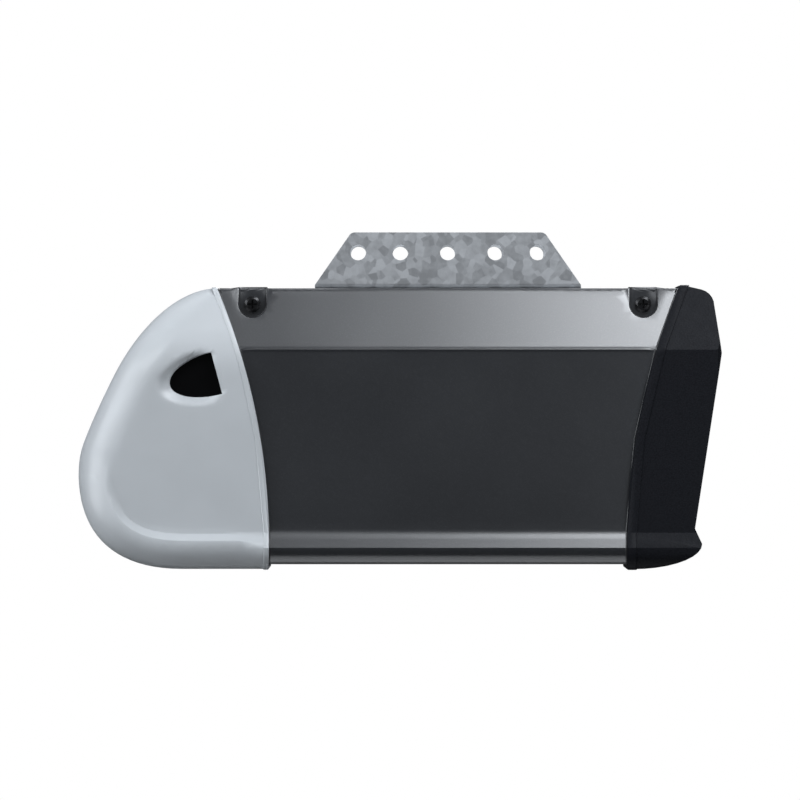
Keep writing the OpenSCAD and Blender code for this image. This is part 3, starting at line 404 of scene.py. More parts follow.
FINISHES = (
    Spangle(Slot.GALVANISED, (0.35, 0.36, 0.372), 0.5, 0.6, mottle=0.15, skin_depth_mm=0.04),
    Satin(Slot.CHARCOAL, (0.0098, 0.0112, 0.014), 0.3, 0.1, coat=1.0, specular=1.0, mottle=0.06,
          skin_depth_mm=0.003),
    Finish(Slot.ZINC_SCREW, (0.50, 0.51, 0.52), 0.34, 0.95, mottle=0.14, mottle_mm=3.0),
    Finish(Slot.BLACK_SCREW, (0.012, 0.012, 0.013), 0.26, 0.5, mottle=0.3, mottle_mm=2.0),
    Frosted(Slot.LENS, (0.43, 0.45, 0.465), 0.36, mottle=0.035, mottle_mm=50.0, skin_mm=0.8,
            skin_depth_mm=0.012),
    Finish(Slot.WHITE, (0.70, 0.71, 0.69), 0.42, mottle=0.05, skin_mm=0.9),
    Finish(Slot.GLOSS, (0.0012, 0.0012, 0.0014), 0.14, coat=0.15, specular=0.2, mottle=0.2,
           skin_depth_mm=0.004),
    Leather(Slot.GRAIN, (0.0095, 0.0101, 0.0124), 0.44, specular=0.05, mottle=0.2),
    Frosted(Slot.BULB, (0.86, 0.86, 0.84), 0.24, coat=0.3, mottle=0.03, skin_depth_mm=0.004),
    Finish(Slot.BRASS, (0.60, 0.44, 0.18), 0.3, 0.95, mottle=0.12, mottle_mm=4.0),
    Banded(Slot.STEEL, (0.46, 0.47, 0.48), 0.28, 0.95, mottle=0.1, band_mm=0.3, axis="Z", band_depth_mm=0.01),
    Banded(Slot.LAMINATIONS, (0.20, 0.20, 0.21), 0.45, 0.8, mottle=0.45, band_mm=0.55, band_depth_mm=0.12),
    Banded(Slot.COPPER, (0.55, 0.22, 0.09), 0.3, 0.9, mottle=0.4, band_mm=0.7, axis="Y", distortion=1.2,
           band_depth_mm=0.3),
    Finish(Slot.CAST, (0.33, 0.34, 0.35), 0.5, 0.8, mottle=0.14, mottle_mm=5.0, skin_mm=0.7,
           skin_depth_mm=0.08),
    Finish(Slot.GEAR, (0.72, 0.69, 0.58), 0.4, mottle=0.06, mottle_mm=6.0, skin_depth_mm=0.01),
    Board(Slot.BOARD, (0.010, 0.075, 0.030), 0.35),
    Finish(Slot.DARK, (0.025, 0.025, 0.027), 0.4, mottle=0.25, mottle_mm=4.0),
    Finish(Slot.GREY_BUTTON, (0.30, 0.31, 0.32), 0.5, mottle=0.06, skin_depth_mm=0.03),
    Finish(Slot.YELLOW_BUTTON, (0.80, 0.56, 0.05), 0.45, mottle=0.06, skin_depth_mm=0.02),
    Frosted(Slot.PIPE, (0.75, 0.80, 0.82), 0.18, coat=0.3, mottle=0.04, skin_depth_mm=0.004),
    Finish(Slot.RED_LEVER, (0.55, 0.035, 0.02), 0.4, mottle=0.08, skin_depth_mm=0.02),
    Finish(Slot.GREEN, (0.020, 0.085, 0.045), 0.45, mottle=0.14, mottle_mm=8.0, skin_depth_mm=0.03),
)


class Workshop:
    """Keeps the finishes and turns meshes into pieces that ride on their bodies."""

    def __init__(self) -> None:
        """Builds every finish once and notes each node's slot and body."""
        self.materials = {f.slot: f.material() for f in FINISHES}
        self.node_slot = {p["node"]: Slot(p["material_slot"]) for p in frame["record"]["subparts"]}
        bodies = frame["record"]["behaviour"]["bodies"]
        self.node_body = {n: body for body, nodes in bodies.items() for n in nodes}

    def dress_nodes(self) -> None:
        """Gives each CAD node the finish of its slot."""
        for name, node in frame["nodes"].items():
            slot = self.node_slot[name]
            for place in node.material_slots:
                place.material = self.materials[slot]
            if not node.material_slots:
                node.data.materials.append(self.materials[slot])

    def piece(self, name: str, mesh: bmesh.types.BMesh, slot: Slot, body: str,
              replaced: Sequence[str] = ()) -> bpy.types.Object:
        """Makes a piece from a mesh.

        Args:
            name: The piece's name.
            mesh: Its mesh in metres, which is freed.
            slot: The finish.
            body: The CAD body that it rides on.
            replaced: CAD nodes that it stands for.

        Returns:
            The new object.
        """
        bmesh.ops.recalc_face_normals(mesh, faces=mesh.faces)
        data = bpy.data.meshes.new(name)
        mesh.to_mesh(data)
        mesh.free()
        data.shade_smooth()
        data.set_sharp_from_angle(angle=math.radians(SHARP_DEG))
        made = bpy.data.objects.new(name, data)
        bpy.context.scene.collection.objects.link(made)
        data.materials.append(self.materials[slot])
        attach(made, body)
        if replaced:
            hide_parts(*replaced)
        LOG.info("%s: %d faces, on %s", name, len(data.polygons), body)
        return made

    def softened(self, node: str, edge_mm: float, sharper_deg: float = 28.0) -> bpy.types.Object:
        """Copies a CAD node and rolls its sharp edges.

        Args:
            node: The CAD node, which the copy replaces.
            edge_mm: Width of a rolled edge.
            sharper_deg: Edges that turn by more than this are rolled.

        Returns:
            The new piece.
        """
        mesh = bmesh.new()
        mesh.from_mesh(frame["nodes"][node].data)
        bmesh.ops.remove_doubles(mesh, verts=mesh.verts, dist=0.004 * MM)
        bmesh.ops.dissolve_limit(mesh, angle_limit=math.radians(1.0), verts=mesh.verts, edges=mesh.edges)
        made = self.piece(node + "_formed", mesh, self.node_slot[node], self.node_body[node], [node])
        roll = made.modifiers.new("rolled_edges", "BEVEL")
        roll.width = edge_mm * MM
        roll.segments = 2
        roll.limit_method = "ANGLE"
        roll.angle_limit = math.radians(sharper_deg)
        roll.harden_normals = True
        return made


@dataclass(frozen=True)
class BodyShape:
    """Cross-section and curved seams that the cover, the lens and the end cap share."""

    foot_x: float = 107.4
    seam_r: float = 393.0
    seam_z: float = -153.5
    top_y: float = 82.0
    side_y: float = 100.0
    band_h: float = 37.0
    bead_top_z: float = -146.8
    bead_edge_z: float = -155.8
    bead_out: float = 6.0
    foot_r: float = 5.0

    def seam_x(self, z: float) -> float:
        """Distance of a seam from the middle of the object, at a height."""
        return self.foot_x + self.seam_r - math.sqrt(self.seam_r ** 2 - (z - self.seam_z) ** 2)

    def band_y(self, z: float) -> float:
        """Half width of the slanted band, at a height."""
        return self.top_y - (self.side_y - self.top_y) * z / self.band_h

    def side_at(self, z: float, out: float, crease: float) -> float:
        """Half width of the side above the bead, with a rounded crease under the slanted band.

        Args:
            z: Height.
            out: Distance outside the cover.
            crease: Size of the rounding.

        Returns:
            The distance from the middle plane.
        """
        band = self.band_y(z)
        blend = max(0.0, 1 - abs(band - self.side_y) / crease)
        return min(band, self.side_y) + out - blend * blend * crease / 4

    def section(self, out: float, top: float, bottom: float, corner: float = 4.0,
                crease: float = 1.0) -> list[Point]:
        """Half a cross-section, from the top centre down and round to the bottom centre.

        Args:
            out: Distance outside the cover.
            top: Height of the top face.
            bottom: Height of the bottom face.
            corner: Size of the rounded top edge.
            crease: Size of the rounding under the slanted band.

        Returns:
            Pairs of half width and height.
        """
        edge = self.band_y(top - corner) + out
        points = [(0.0, top), (edge * 0.5, top)]
        for step in range(5):
            turn = math.radians(90 * step / 4)
            points.append((edge - 1.4 * corner * (1 - math.sin(turn)), top - corner * (1 - math.cos(turn))))
        reach = 2.0 * crease
        points += [(self.side_at(z, out, crease), z)
                   for z in [-self.band_h + reach * (1 - i / 5) for i in range(11)]]
        points += [(self.side_y + out, -90.0), (self.side_y + out, self.bead_top_z)]
        for step in range(7):
            turn = math.radians(90 * step / 6)
            points.append((self.side_y - self.foot_r + (self.foot_r + self.bead_out + out) * math.cos(turn),
                           self.bead_edge_z - (self.bead_edge_z - bottom) * math.sin(turn)))
        return [*points, (0.0, bottom)]


@dataclass(frozen=True)
class SeamLip:
    """A raised lip that runs round a moulding beside its seam with the cover."""

    body: BodyShape
    out: float
    top: float
    bottom: float
    width: float
    rise: float
    direction: int
    start: float = 0.15
    crease: float = 1.0

    def mesh(self) -> bmesh.types.BMesh:
        """Sweeps the lip's rounded profile round the section.

        Returns:
            The lip as a closed ring.
        """
        first, last = self.start, self.start + self.width
        profile = [(first, -0.8), (first, 0.3 * self.rise), (first + 0.12, 0.75 * self.rise),
                   (first + 0.35, self.rise), (last - 0.45, self.rise), (last - 0.1, 0.5 * self.rise),
                   (last, 0.0), (last, -0.8)]
        rows = []
        made = bmesh.new()
        for along, rise in profile:
            half = self.body.section(self.out + rise, self.top + rise, self.bottom - rise, crease=self.crease)
            ring = [(-y, z) for y, z in half] + [(y, z) for y, z in half[-2:0:-1]]
            rows.append([made.verts.new((self.direction * (self.body.seam_x(z) + along) * MM, y * MM, z * MM))
                         for y, z in ring])
        around = len(rows[0])
        for a, b in zip(rows, rows[1:] + rows[:1]):
            for i in range(around):
                j = (i + 1) % around
                made.faces.new((a[i], a[j], b[j], b[i]))
        return made


@dataclass(frozen=True)
class Window:
    """The finger opening in each side of the lens, with the scoop that leads a finger to it."""

    x: float = -138.8
    z: float = -51.0
    length: float = 29.0
    half_height: float = 13.0
    lean_deg: float = 15.0
    scoop_reach: float = 1.32
    scoop_depth: float = 3.4
    steps: int = 28

    def local(self, x: float, z: float) -> Point:
        """A point's place along and across the opening.

        Args:
            x: Place along the object.
            z: Height.

        Returns:
            The place along the opening and the place across it.
        """
        turn = math.radians(self.lean_deg)
        dx, dz = x - self.x, z - self.z
        return dx * math.cos(turn) + dz * math.sin(turn), dz * math.cos(turn) - dx * math.sin(turn)

    def world(self, u: float, v: float) -> Point:
        """The point at a place along and across the opening.

        Args:
            u: Place along the opening.
            v: Place across it.

        Returns:
            The point's place along the object and its height.
        """
        turn = math.radians(self.lean_deg)
        return (self.x + u * math.cos(turn) - v * math.sin(turn),
                self.z + u * math.sin(turn) + v * math.cos(turn))

    def reach(self, x: float, z: float) -> float:
        """How far out a point is, where 1 is the opening's edge.

        Args:
            x: Place along the object.
            z: Height.

        Returns:
            The reach, which is under 1 inside the opening.
        """
        u, v = self.local(x, z)
        if u > 0:
            return 1.0 + u / 4 if abs(v) < self.half_height else 2.0
        return math.hypot(u / self.length, v / self.half_height)

    def ring(self, reach: float) -> list[Point]:
        """Points round the curved side of the opening, at a reach.

        Args:
            reach: Size of the curve, where 1 is the opening's edge.

        Returns:
            The points, from one end of the curve to the other.
        """
        turns = [math.radians(90 + 180 * i / self.steps) for i in range(self.steps + 1)]
        return [self.world(self.length * reach * math.cos(t), self.half_height * reach * math.sin(t))
                for t in turns]

    def dip(self, x: float, z: float) -> float:
        """Depth of the scoop at a point.

        Args:
            x: Place along the object.
            z: Height.

        Returns:
            The depth, which is 0 outside the scoop.
        """
        u, _ = self.local(x, z)
        share = (self.scoop_reach - self.reach(x, z)) / (self.scoop_reach - 1)
        share = max(0.0, min(1.0, share)) * max(0.0, min(1.0, -u / (0.45 * self.length)))
        return self.scoop_depth * share * share * (3 - 2 * share)


def smooth_step(value: float) -> float:
    """Eases a value from 0 to 1."""
    value = max(0.0, min(1.0, value))
    return value * value * (3 - 2 * value)


def inside(point: Point, loop: Sequence[Point]) -> bool:
    """Whether a point lies inside a closed loop of points.

    Args:
        point: The point to test.
        loop: Points of the loop, in order.

    Returns:
        True when the point is inside.
    """
    found = False
    for (x0, z0), (x1, z1) in zip(loop, [*loop[1:], loop[0]]):
        if (z0 > point[1]) != (z1 > point[1]) and point[0] < (x1 - x0) * (point[1] - z0) / (z1 - z0) + x0:
            found = not found
    return found


@dataclass
class Pattern:
    """A flat pattern in the side view, raised into the two sides of a skin.

    The height is a function that gives the half width at a point of the pattern.
    """

    border: list[Point]
    holes: list[list[Point]]
    folds: list[list[Point]]
    inner: list[Point]
    height: Callable[[float, float], float]

    def raise_sides(self, made: bmesh.types.BMesh) -> None:
        """Adds the front and the back side to a mesh.

        Args:
            made: The mesh that takes them.
        """
        points: list[Point] = []
        edges: list[tuple[int, int]] = []
        for line in (self.border, *self.holes):
            start, size = len(points), len(line)
            edges += [(start + i, start + (i + 1) % size) for i in range(size)]
            points += line
        for line in self.folds:
            start = len(points)
            edges += [(start + i, start + i + 1) for i in range(len(line) - 1)]
            points += line
        points += self.inner
        flat, _, faces, *_ = delaunay_2d_cdt([Vector(p) for p in points], edges, [], 0, 1e-4, False)
        kept = []
        for face in faces:
            centre = (sum(flat[i].x for i in face) / 3, sum(flat[i].y for i in face) / 3)
            if inside(centre, self.border) and not any(inside(centre, hole) for hole in self.holes):
                kept.append(face)
        heights = [self.height(p.x, p.y) for p in flat]
        used = {i for face in kept for i in face}
        for side in Side:
            verts = {i: made.verts.new((flat[i].x * MM, side.value * heights[i] * MM, flat[i].y * MM))
                     for i in used}
            for face in kept:
                made.faces.new([verts[i] for i in face])


@dataclass
class Cover:
    """The painted steel wrapper: slanted bands, upright sides, bead along the foot and screw pockets."""

    shop: Workshop
    body: BodyShape = field(default_factory=BodyShape)
    sheet: float = 1.2
    lap: float = 1.4
    depth: float = 165.8
    pocket_x: float = 117.4
    pocket_z: float = -9.1
    pocket_r: float = 8.25
    pocket_wall: float = 0.5
    crease_rise: float = 0.4
    crease_w: float = 0.9
    top_roll: float = 0.7
    # Size and place of the dark seam strips, which paint the shadow in the gap between the cover and the lens
    # or the end cap
    seam_shade_w: float = 1.15
    seam_shade_out: float = 0.35
    seam_shade_start: float = -0.95
    slot_x: float = -95.4
    slot_y: tuple[float, float] = (84.0, 92.0)
    columns: int = 44

    def rows(self) -> list[float]:
        """Heights of the mesh rows, close together where the sheet bends.

        Returns:
            The heights, from the top down to the foot.
        """
        edge = self.body.bead_edge_z
        foot = [edge - (self.depth + edge) * math.sin(math.radians(a)) for a in (8, 20, 35, 50, 65, 80, 90)]
        return [0.0, -0.4, -0.8, -1.4, -2.4, -5.0, -10.0, -15.0, -20.0, -25.0, -30.0, -34.0, -35.2, -35.9,
                -36.4, -36.8, -37.2, -37.6, -38.2, -39.2, -42.0, *[-50.0 - 10 * i for i in range(10)], -144.5,
                -145.8, -146.6, -147.4, -148.4, -151.0, -153.6, -154.6, -155.3, edge, *foot]

    def end_x(self, z: float) -> float:
        """Distance of the sheet's ends from the middle, at a height."""
        return self.body.seam_x(z) + (self.lap if z < -3 else -1.4)

    def row(self, z: float) -> list[Point]:
        """The points of one mesh row, without its two ends."""
        return [(self.end_x(z) * (2 * i / self.columns - 1), z) for i in range(1, self.columns)]

    def pocket_away(self, x: float, z: float) -> float:
        """Distance from the axis of the nearer screw pocket."""
        across = abs(x) - self.pocket_x
        return abs(across) if z > self.pocket_z else math.hypot(across, z - self.pocket_z)

    def half_width(self, x: float, z: float) -> float:
        """Half width of the cover at a point of its side.

        Args:
            x: Place along the object.
            z: Height.

        Returns:
            The distance from the middle plane to the painted surface.
        """
        body = self.body
        if z < body.bead_edge_z:
            share = min(1.0, (body.bead_edge_z - z) / (self.depth + body.bead_edge_z))
            return body.side_y - body.foot_r + (body.foot_r + body.bead_out) * math.sqrt(1 - share * share)
        base = min(body.band_y(z), body.side_y)
        base += self.crease_rise * math.exp(-(((z + body.band_h - 0.3) / self.crease_w) ** 2))
        slope = (body.bead_top_z - z) / (body.bead_top_z - body.bead_edge_z)
        base += body.bead_out * max(0.0, min(1.0, slope)) + 0.35 * math.exp(-((slope * 9) ** 2))
        base -= self.top_roll * max(0.0, 1 + z / 1.4) ** 2
        away = self.pocket_away(x, z) - self.pocket_r
        if away < 1.0:
            wall = smooth_step((0.45 - away) / self.pocket_wall)
            rolled = base - 0.25 * (1.0 - max(away, 0.0)) ** 2
            return rolled + (min(rolled, body.top_y) - rolled) * wall
        return base

    def pocket_lines(self, end: int) -> list[list[Point]]:
        """Lines round one screw pocket at falling distances from its axis.

        Args:
            end: -1 for the lens end and 1 for the control end.

        Returns:
            One list of points for each line, from the outermost in.
        """
        lines = []
        for away in (1.0, 0.55, 0.3, 0.05, -0.1):
            r = self.pocket_r + away
            arc = [math.radians(180 + 180 * i / 20) for i in range(21)]
            middle = end * self.pocket_x
            round_end = [(middle + r * math.cos(t), self.pocket_z + r * math.sin(t)) for t in arc]
            lines.append([(middle - r, -0.01), *round_end, (middle + r, -0.01)])
        return lines

    def skin(self) -> bmesh.types.BMesh:
        """Builds the painted outside: two sides and the underside.

        Returns:
            The open skin.
        """
        rows = self.rows()
        left = [(-self.end_x(z), z) for z in rows]
        right = [(self.end_x(z), z) for z in reversed(rows)]
        inner = [p for z in rows[1:-1] for p in self.row(z)]
        inner += [(end * (self.end_x(z) - 0.4), z) for z in rows[1:-1] for end in (-1, 1)]
        inner = [p for p in inner if self.pocket_away(*p) > self.pocket_r + 1.2
                 or self.pocket_away(*p) < self.pocket_r - 0.6]
        border = left + self.row(rows[-1]) + right
        folds = [line for end in (-1, 1) for line in self.pocket_lines(end)]
        folds += [self.row(z) for z in rows if -39 < z < -34 or -156 < z < -144]
        made = bmesh.new()
        Pattern(border, [], folds, inner, self.half_width).raise_sides(made)
        self.underside(made)
        bmesh.ops.remove_doubles(made, verts=made.verts, dist=0.02 * MM)
        return made

    def underside(self, made: bmesh.types.BMesh) -> None:
        """Adds the flat underside with its two slots for the lens hinge arms.

        Args:
            made: The mesh that takes it.
        """
        end = self.end_x(-self.depth)
        edge = self.body.side_y - self.body.foot_r
        xs = sorted([end * (2 * i / self.columns - 1) for i in range(self.columns + 1)] + [self.slot_x])
        near, away = self.slot_y
        ys = [-edge, -away, -near, *[-60.0 + 30 * i for i in range(5)], near, away, edge]
        verts = {(x, y): made.verts.new((x * MM, y * MM, -self.depth * MM)) for x in xs for y in ys}
        for x0, x1 in zip(xs, xs[1:]):
            for y0, y1 in zip(ys, ys[1:]):
                if x1 <= self.slot_x and near <= min(abs(y0), abs(y1)) and max(abs(y0), abs(y1)) <= away:
                    continue
                made.faces.new((verts[x0, y0], verts[x1, y0], verts[x1, y1], verts[x0, y1]))

    def build(self) -> None:
        """Makes the cover with its sheet thickness, and dark strips along both seams that paint the shadow in
        the gaps there.
        """
        cover = self.shop.piece("cover_sheet", self.skin(), Slot.CHARCOAL, "housing", ["steel_cover"])
        wall = cover.modifiers.new("sheet", "SOLIDIFY")
        wall.thickness = self.sheet * MM
        wall.offset = -1.0
        # Each strip is a dark sheet that stands in for the shadow in the seam gap: painted shade
        for name, end in (("seam_shade_strip_lamp_end", -1), ("seam_shade_strip_control_end", 1)):
            strip = SeamLip(self.body, 0.0, -0.4, -self.depth, self.seam_shade_w, self.seam_shade_out, end,
                            start=self.seam_shade_start)
            self.shop.piece(name, strip.mesh(), Slot.DARK, "housing")


@dataclass
class Lens:
    """The hinged light lens: a smooth shell with a soft edge, a bead along its foot and two windows."""

    shop: Workshop
    body: BodyShape = field(default_factory=BodyShape)
    window: Window = field(default_factory=Window)
    out: float = 3.5
    wall: float = 2.4
    length: float = 114.6
    depth: float = 168.6
    bead_w: float = 21.8
    bead_slope: float = 5.5
    crease: float = 7.0
    bead_fade_z: float = -93.0
    hinge_x: float = -101.0
    hinge_z: float = -161.5
    hinge_y: float = 88.0
    arm_w: float = 6.0
    arm_foot: Point = (-119.4, -111.4)
    boss_r: float = 4.0
    lip_w: float = 3.2
    lip_rise: float = 0.5
    grid_pitch: float = 3.0
    edge_band: float = 28.0
    seam_steps: int = 56
    curve: tuple[Point, ...] = (
        (0.267, 0), (0.485, 0), (0.686, 0.143), (0.808, 0.303), (0.865, 0.378), (0.939, 0.488),
        (0.974, 0.553), (0.996, 0.594), (1, 0.63), (1, 0.672), (0.991, 0.868), (0.825, 1), (0.459, 1))

    def outline(self) -> list[Point]:
        """The side outline, from the seam's top over the nose to the seam's foot.

        Returns:
            The points of the outline, in order.
        """
        knots = [Vector((-(self.body.foot_x + self.length * a), -self.depth * b, 0)) for a, b in self.curve]
        points: list[Point] = [(-self.body.seam_x(0), 0.0)]
        for k in range(0, 12, 3):
            points += [(p.x, p.y) for p in interpolate_bezier(*knots[k:k + 4], 22)[1:]]
        foot = -self.body.seam_x(-self.depth)
        last = points[-1][0]
        return points + [(last + (foot - last) * i / 12, -self.depth) for i in range(1, 13)]

    def normals(self, points: Sequence[Point]) -> list[Point]:
        """Unit normals of the outline that point into the lens.

        Args:
            points: Points of the outline, in order.

        Returns:
            One normal for each point.
        """
        found = []
        for i in range(len(points)):
            a, b = points[max(0, i - 1)], points[min(len(points) - 1, i + 1)]
            dx, dz = b[0] - a[0], b[1] - a[1]
            size = math.hypot(dx, dz)
            found.append((-dz / size, dx / size))
        return found

    def half_width(self, x: float, z: float, near: tuple[float, Point, float]) -> float:
        """Half width of the lens at a point of its side.

        Args:
            x: Place along the object.
            z: Height.
            near: Distance to the outline, and the outline's normal and height there.

        Returns:
            The distance from the middle plane to the surface.
        """
        away, normal, near_z = near
        far = smooth_step((-x - self.body.seam_x(z) - 3.0) / 14)
        base = self.body.side_at(z, self.out, self.crease)
        bead = smooth_step((self.bead_fade_z - near_z) / (self.depth + self.bead_fade_z))
        slope = self.bead_slope + (self.body.bead_top_z - self.body.bead_edge_z - self.bead_slope) * (1 - far)
        flare = self.body.bead_out * bead * smooth_step((self.bead_w - away) / slope)
        plain_r = 6.0 + 19.0 * abs(normal[0]) ** 1.3
        reach = plain_r + (self.bead_w - slope - plain_r) * bead
        drop = plain_r + (self.body.foot_r + self.body.bead_out + self.out - plain_r) * bead
        share = 1 - min(away, reach) / reach
        edge = drop * (1 - math.sqrt(max(0.0, 1 - share * share)))
        return base + flare - edge - self.window.dip(x, z)

    def side_points(self, outline: list[Point], seam: list[Point]) -> list[Point]:
        """Inner points of a lens side: rows that follow its edges, and a grid between them.

        Args:
            outline: The lens outline.
            seam: Points down the seam, which close the outline.

        Returns:
            The points that lie inside the outline and outside the window.
        """
        normals = self.normals(outline)
        region = outline + seam
        rows = []
        for away in (0.5, 1.3, 2.6, 4.4, 6.8, 9.4, 11.8, 14.0, 15.6, 17.0, 18.4, 19.8, 21.2, 22.6, 25.4):
            ring = [(p[0] + n[0] * away, p[1] + n[1] * away) for p, n in zip(outline, normals)]
            rows += [p for p in ring[::1 if away < 14 else 2] if self.distance(p, outline) > away * 0.93]
        for away in (1.6, 4.0, 7.5):
            rows += [(-self.body.seam_x(-2.0 * i) - away, -2.0 * i) for i in range(1, 84)]
        for reach in (1.06, 1.12, 1.18, 1.25, 1.33, 1.42):
            rows += self.window.ring(reach)
        (x_low, x_high), (z_low, z_high) = (-222.0, -107.0), (-168.0, 0.0)
        grid = [(x_low + self.grid_pitch * i, z_low + self.grid_pitch * j)
                for i in range(int((x_high - x_low) / self.grid_pitch) + 1)
                for j in range(int((z_high - z_low) / self.grid_pitch) + 1)]
        rows += [p for p in grid if self.distance(p, outline) > self.edge_band and self.window.reach(*p) > 1.5
                 and -p[0] > self.body.seam_x(p[1]) + 9.5]
        return [p for p in rows if inside(p, region) and self.window.reach(*p) > 1.03
                and -p[0] > self.body.seam_x(p[1]) + 1.5]

    @staticmethod
    def distance(point: Point, outline: Sequence[Point]) -> float:
        """Distance from a point to the nearest outline point."""
        return min(math.hypot(point[0] - p[0], point[1] - p[1]) for p in outline)

    def shell(self) -> bmesh.types.BMesh:
        """Builds the outer skin: two sides and the strip that joins them round the edge.

        Returns:
            The open skin.
        """
        outline = self.outline()
        normals = self.normals(outline)
        heights = [-self.depth * i / self.seam_steps for i in range(self.seam_steps - 1, 0, -1)]
        seam = [(-self.body.seam_x(z), z) for z in heights]
        upright = [self.window.world(0, self.window.half_height * (2 * i / 8 - 1)) for i in range(1, 8)]
        hole = self.window.ring(1.0) + upright

        def height(x: float, z: float) -> float:
            """Half width of the lens, found from the nearest point of its outline.

            Args:
                x: Place along the object.
                z: Height.

            Returns:
                The half width.
            """
            near = min(range(len(outline)), key=lambda i: (x - outline[i][0]) ** 2 + (z - outline[i][1]) ** 2)
            px, pz = outline[near]
            away = abs((x - px) * normals[near][0] + (z - pz) * normals[near][1])
            return self.half_width(x, z, (away, normals[near], pz))

        made = bmesh.new()
        Pattern(outline + seam, [hole], [], self.side_points(outline, seam), height).raise_sides(made)
        self.raise_strip(made, outline, normals)
        bmesh.ops.remove_doubles(made, verts=made.verts, dist=0.02 * MM)
        return made

    def raise_strip(self, made: bmesh.types.BMesh, outline: Sequence[Point], normals: Sequence[Point],
                    across: int = 12) -> None:
        """Joins the two sides by a strip over the top, the nose and the underside.

        Args:
            made: The mesh that takes the strip.
            outline: The lens outline.
            normals: The outline's inward normals.
            across: Faces from front to back.
        """
        rows = []
        for (x, z), normal in zip(outline, normals):
            half = self.half_width(x, z, (0.0, normal, z))
            rows.append([made.verts.new((x * MM, half * (2 * k / across - 1) * MM, z * MM))
                         for k in range(across + 1)])
        for a, b in zip(rows, rows[1:]):
            for k in range(across):
                made.faces.new((a[k], b[k], b[k + 1], a[k + 1]))

    def arm(self, made: bmesh.types.BMesh, middle: float) -> None:
        """Adds one hinge arm with its round boss.

        Args:
            made: The mesh that takes the arm.
            middle: The arm's middle across the object.
        """
        foot_z = 1 - self.depth
        turns = [math.radians(t) for t in range(-90, 120, 15)]
        boss = [(self.hinge_x + self.boss_r * math.cos(t), self.hinge_z + self.boss_r * math.sin(t))
                for t in turns]
        outer, inner = self.arm_foot
        top_z = self.hinge_z + 2.6
        shape = [(outer, foot_z), (inner, foot_z), (inner, self.hinge_z - 3.6), *boss,
                 (self.hinge_x - self.boss_r, top_z), (outer, top_z)]
        ends = [[made.verts.new((x * MM, (middle + s * self.arm_w / 2) * MM, z * MM)) for x, z in shape]
                for s in (-1, 1)]
        made.faces.new(ends[0])
        made.faces.new(ends[1][::-1])
        for i in range(len(shape)):
            j = (i + 1) % len(shape)
            made.faces.new((ends[0][i], ends[0][j], ends[1][j], ends[1][i]))

    def build(self) -> None:
        """Makes the shell with its wall, the hinge arms and the seam lip."""
        shell = self.shop.piece("lens_shell", self.shell(), Slot.LENS, "lens", ["lens"])
        wall = shell.modifiers.new("wall", "SOLIDIFY")
        wall.thickness = self.wall * MM
        wall.offset = -1.0
        wall.use_even_offset = True
        arms = bmesh.new()
        for side in Side:
            self.arm(arms, side.value * self.hinge_y)
        arm = self.shop.piece("lens_hinge_arms", arms, Slot.LENS, "lens")
        soft = arm.modifiers.new("soft_edges", "BEVEL")
        soft.width = 0.5 * MM
        soft.segments = 2
        lip = SeamLip(self.body, self.out, 0.0, -self.depth, self.lip_w, self.lip_rise, -1,
                      crease=self.crease)
        self.shop.piece("lens_seam_lip", lip.mesh(), Slot.LENS, "lens")


@dataclass
class EndCap:
    """The moulded end cap, with the lip beside its seam."""

    shop: Workshop
    body: BodyShape = field(default_factory=BodyShape)
    out: float = 3.0
    top: float = 1.5
    bottom: float = -168.8
    lip_w: float = 5.6
    lip_rise: float = 0.45
    edge: float = 1.0
    sharper_deg: float = 24.0

    def build(self) -> None:
        """Makes the softened cap and its lip."""
        self.shop.softened("end_cap", self.edge, self.sharper_deg)
        lip = SeamLip(self.body, self.out, self.top, self.bottom, self.lip_w, self.lip_rise, 1)
        self.shop.piece("cap_seam_lip", lip.mesh(), Slot.GRAIN, "housing")


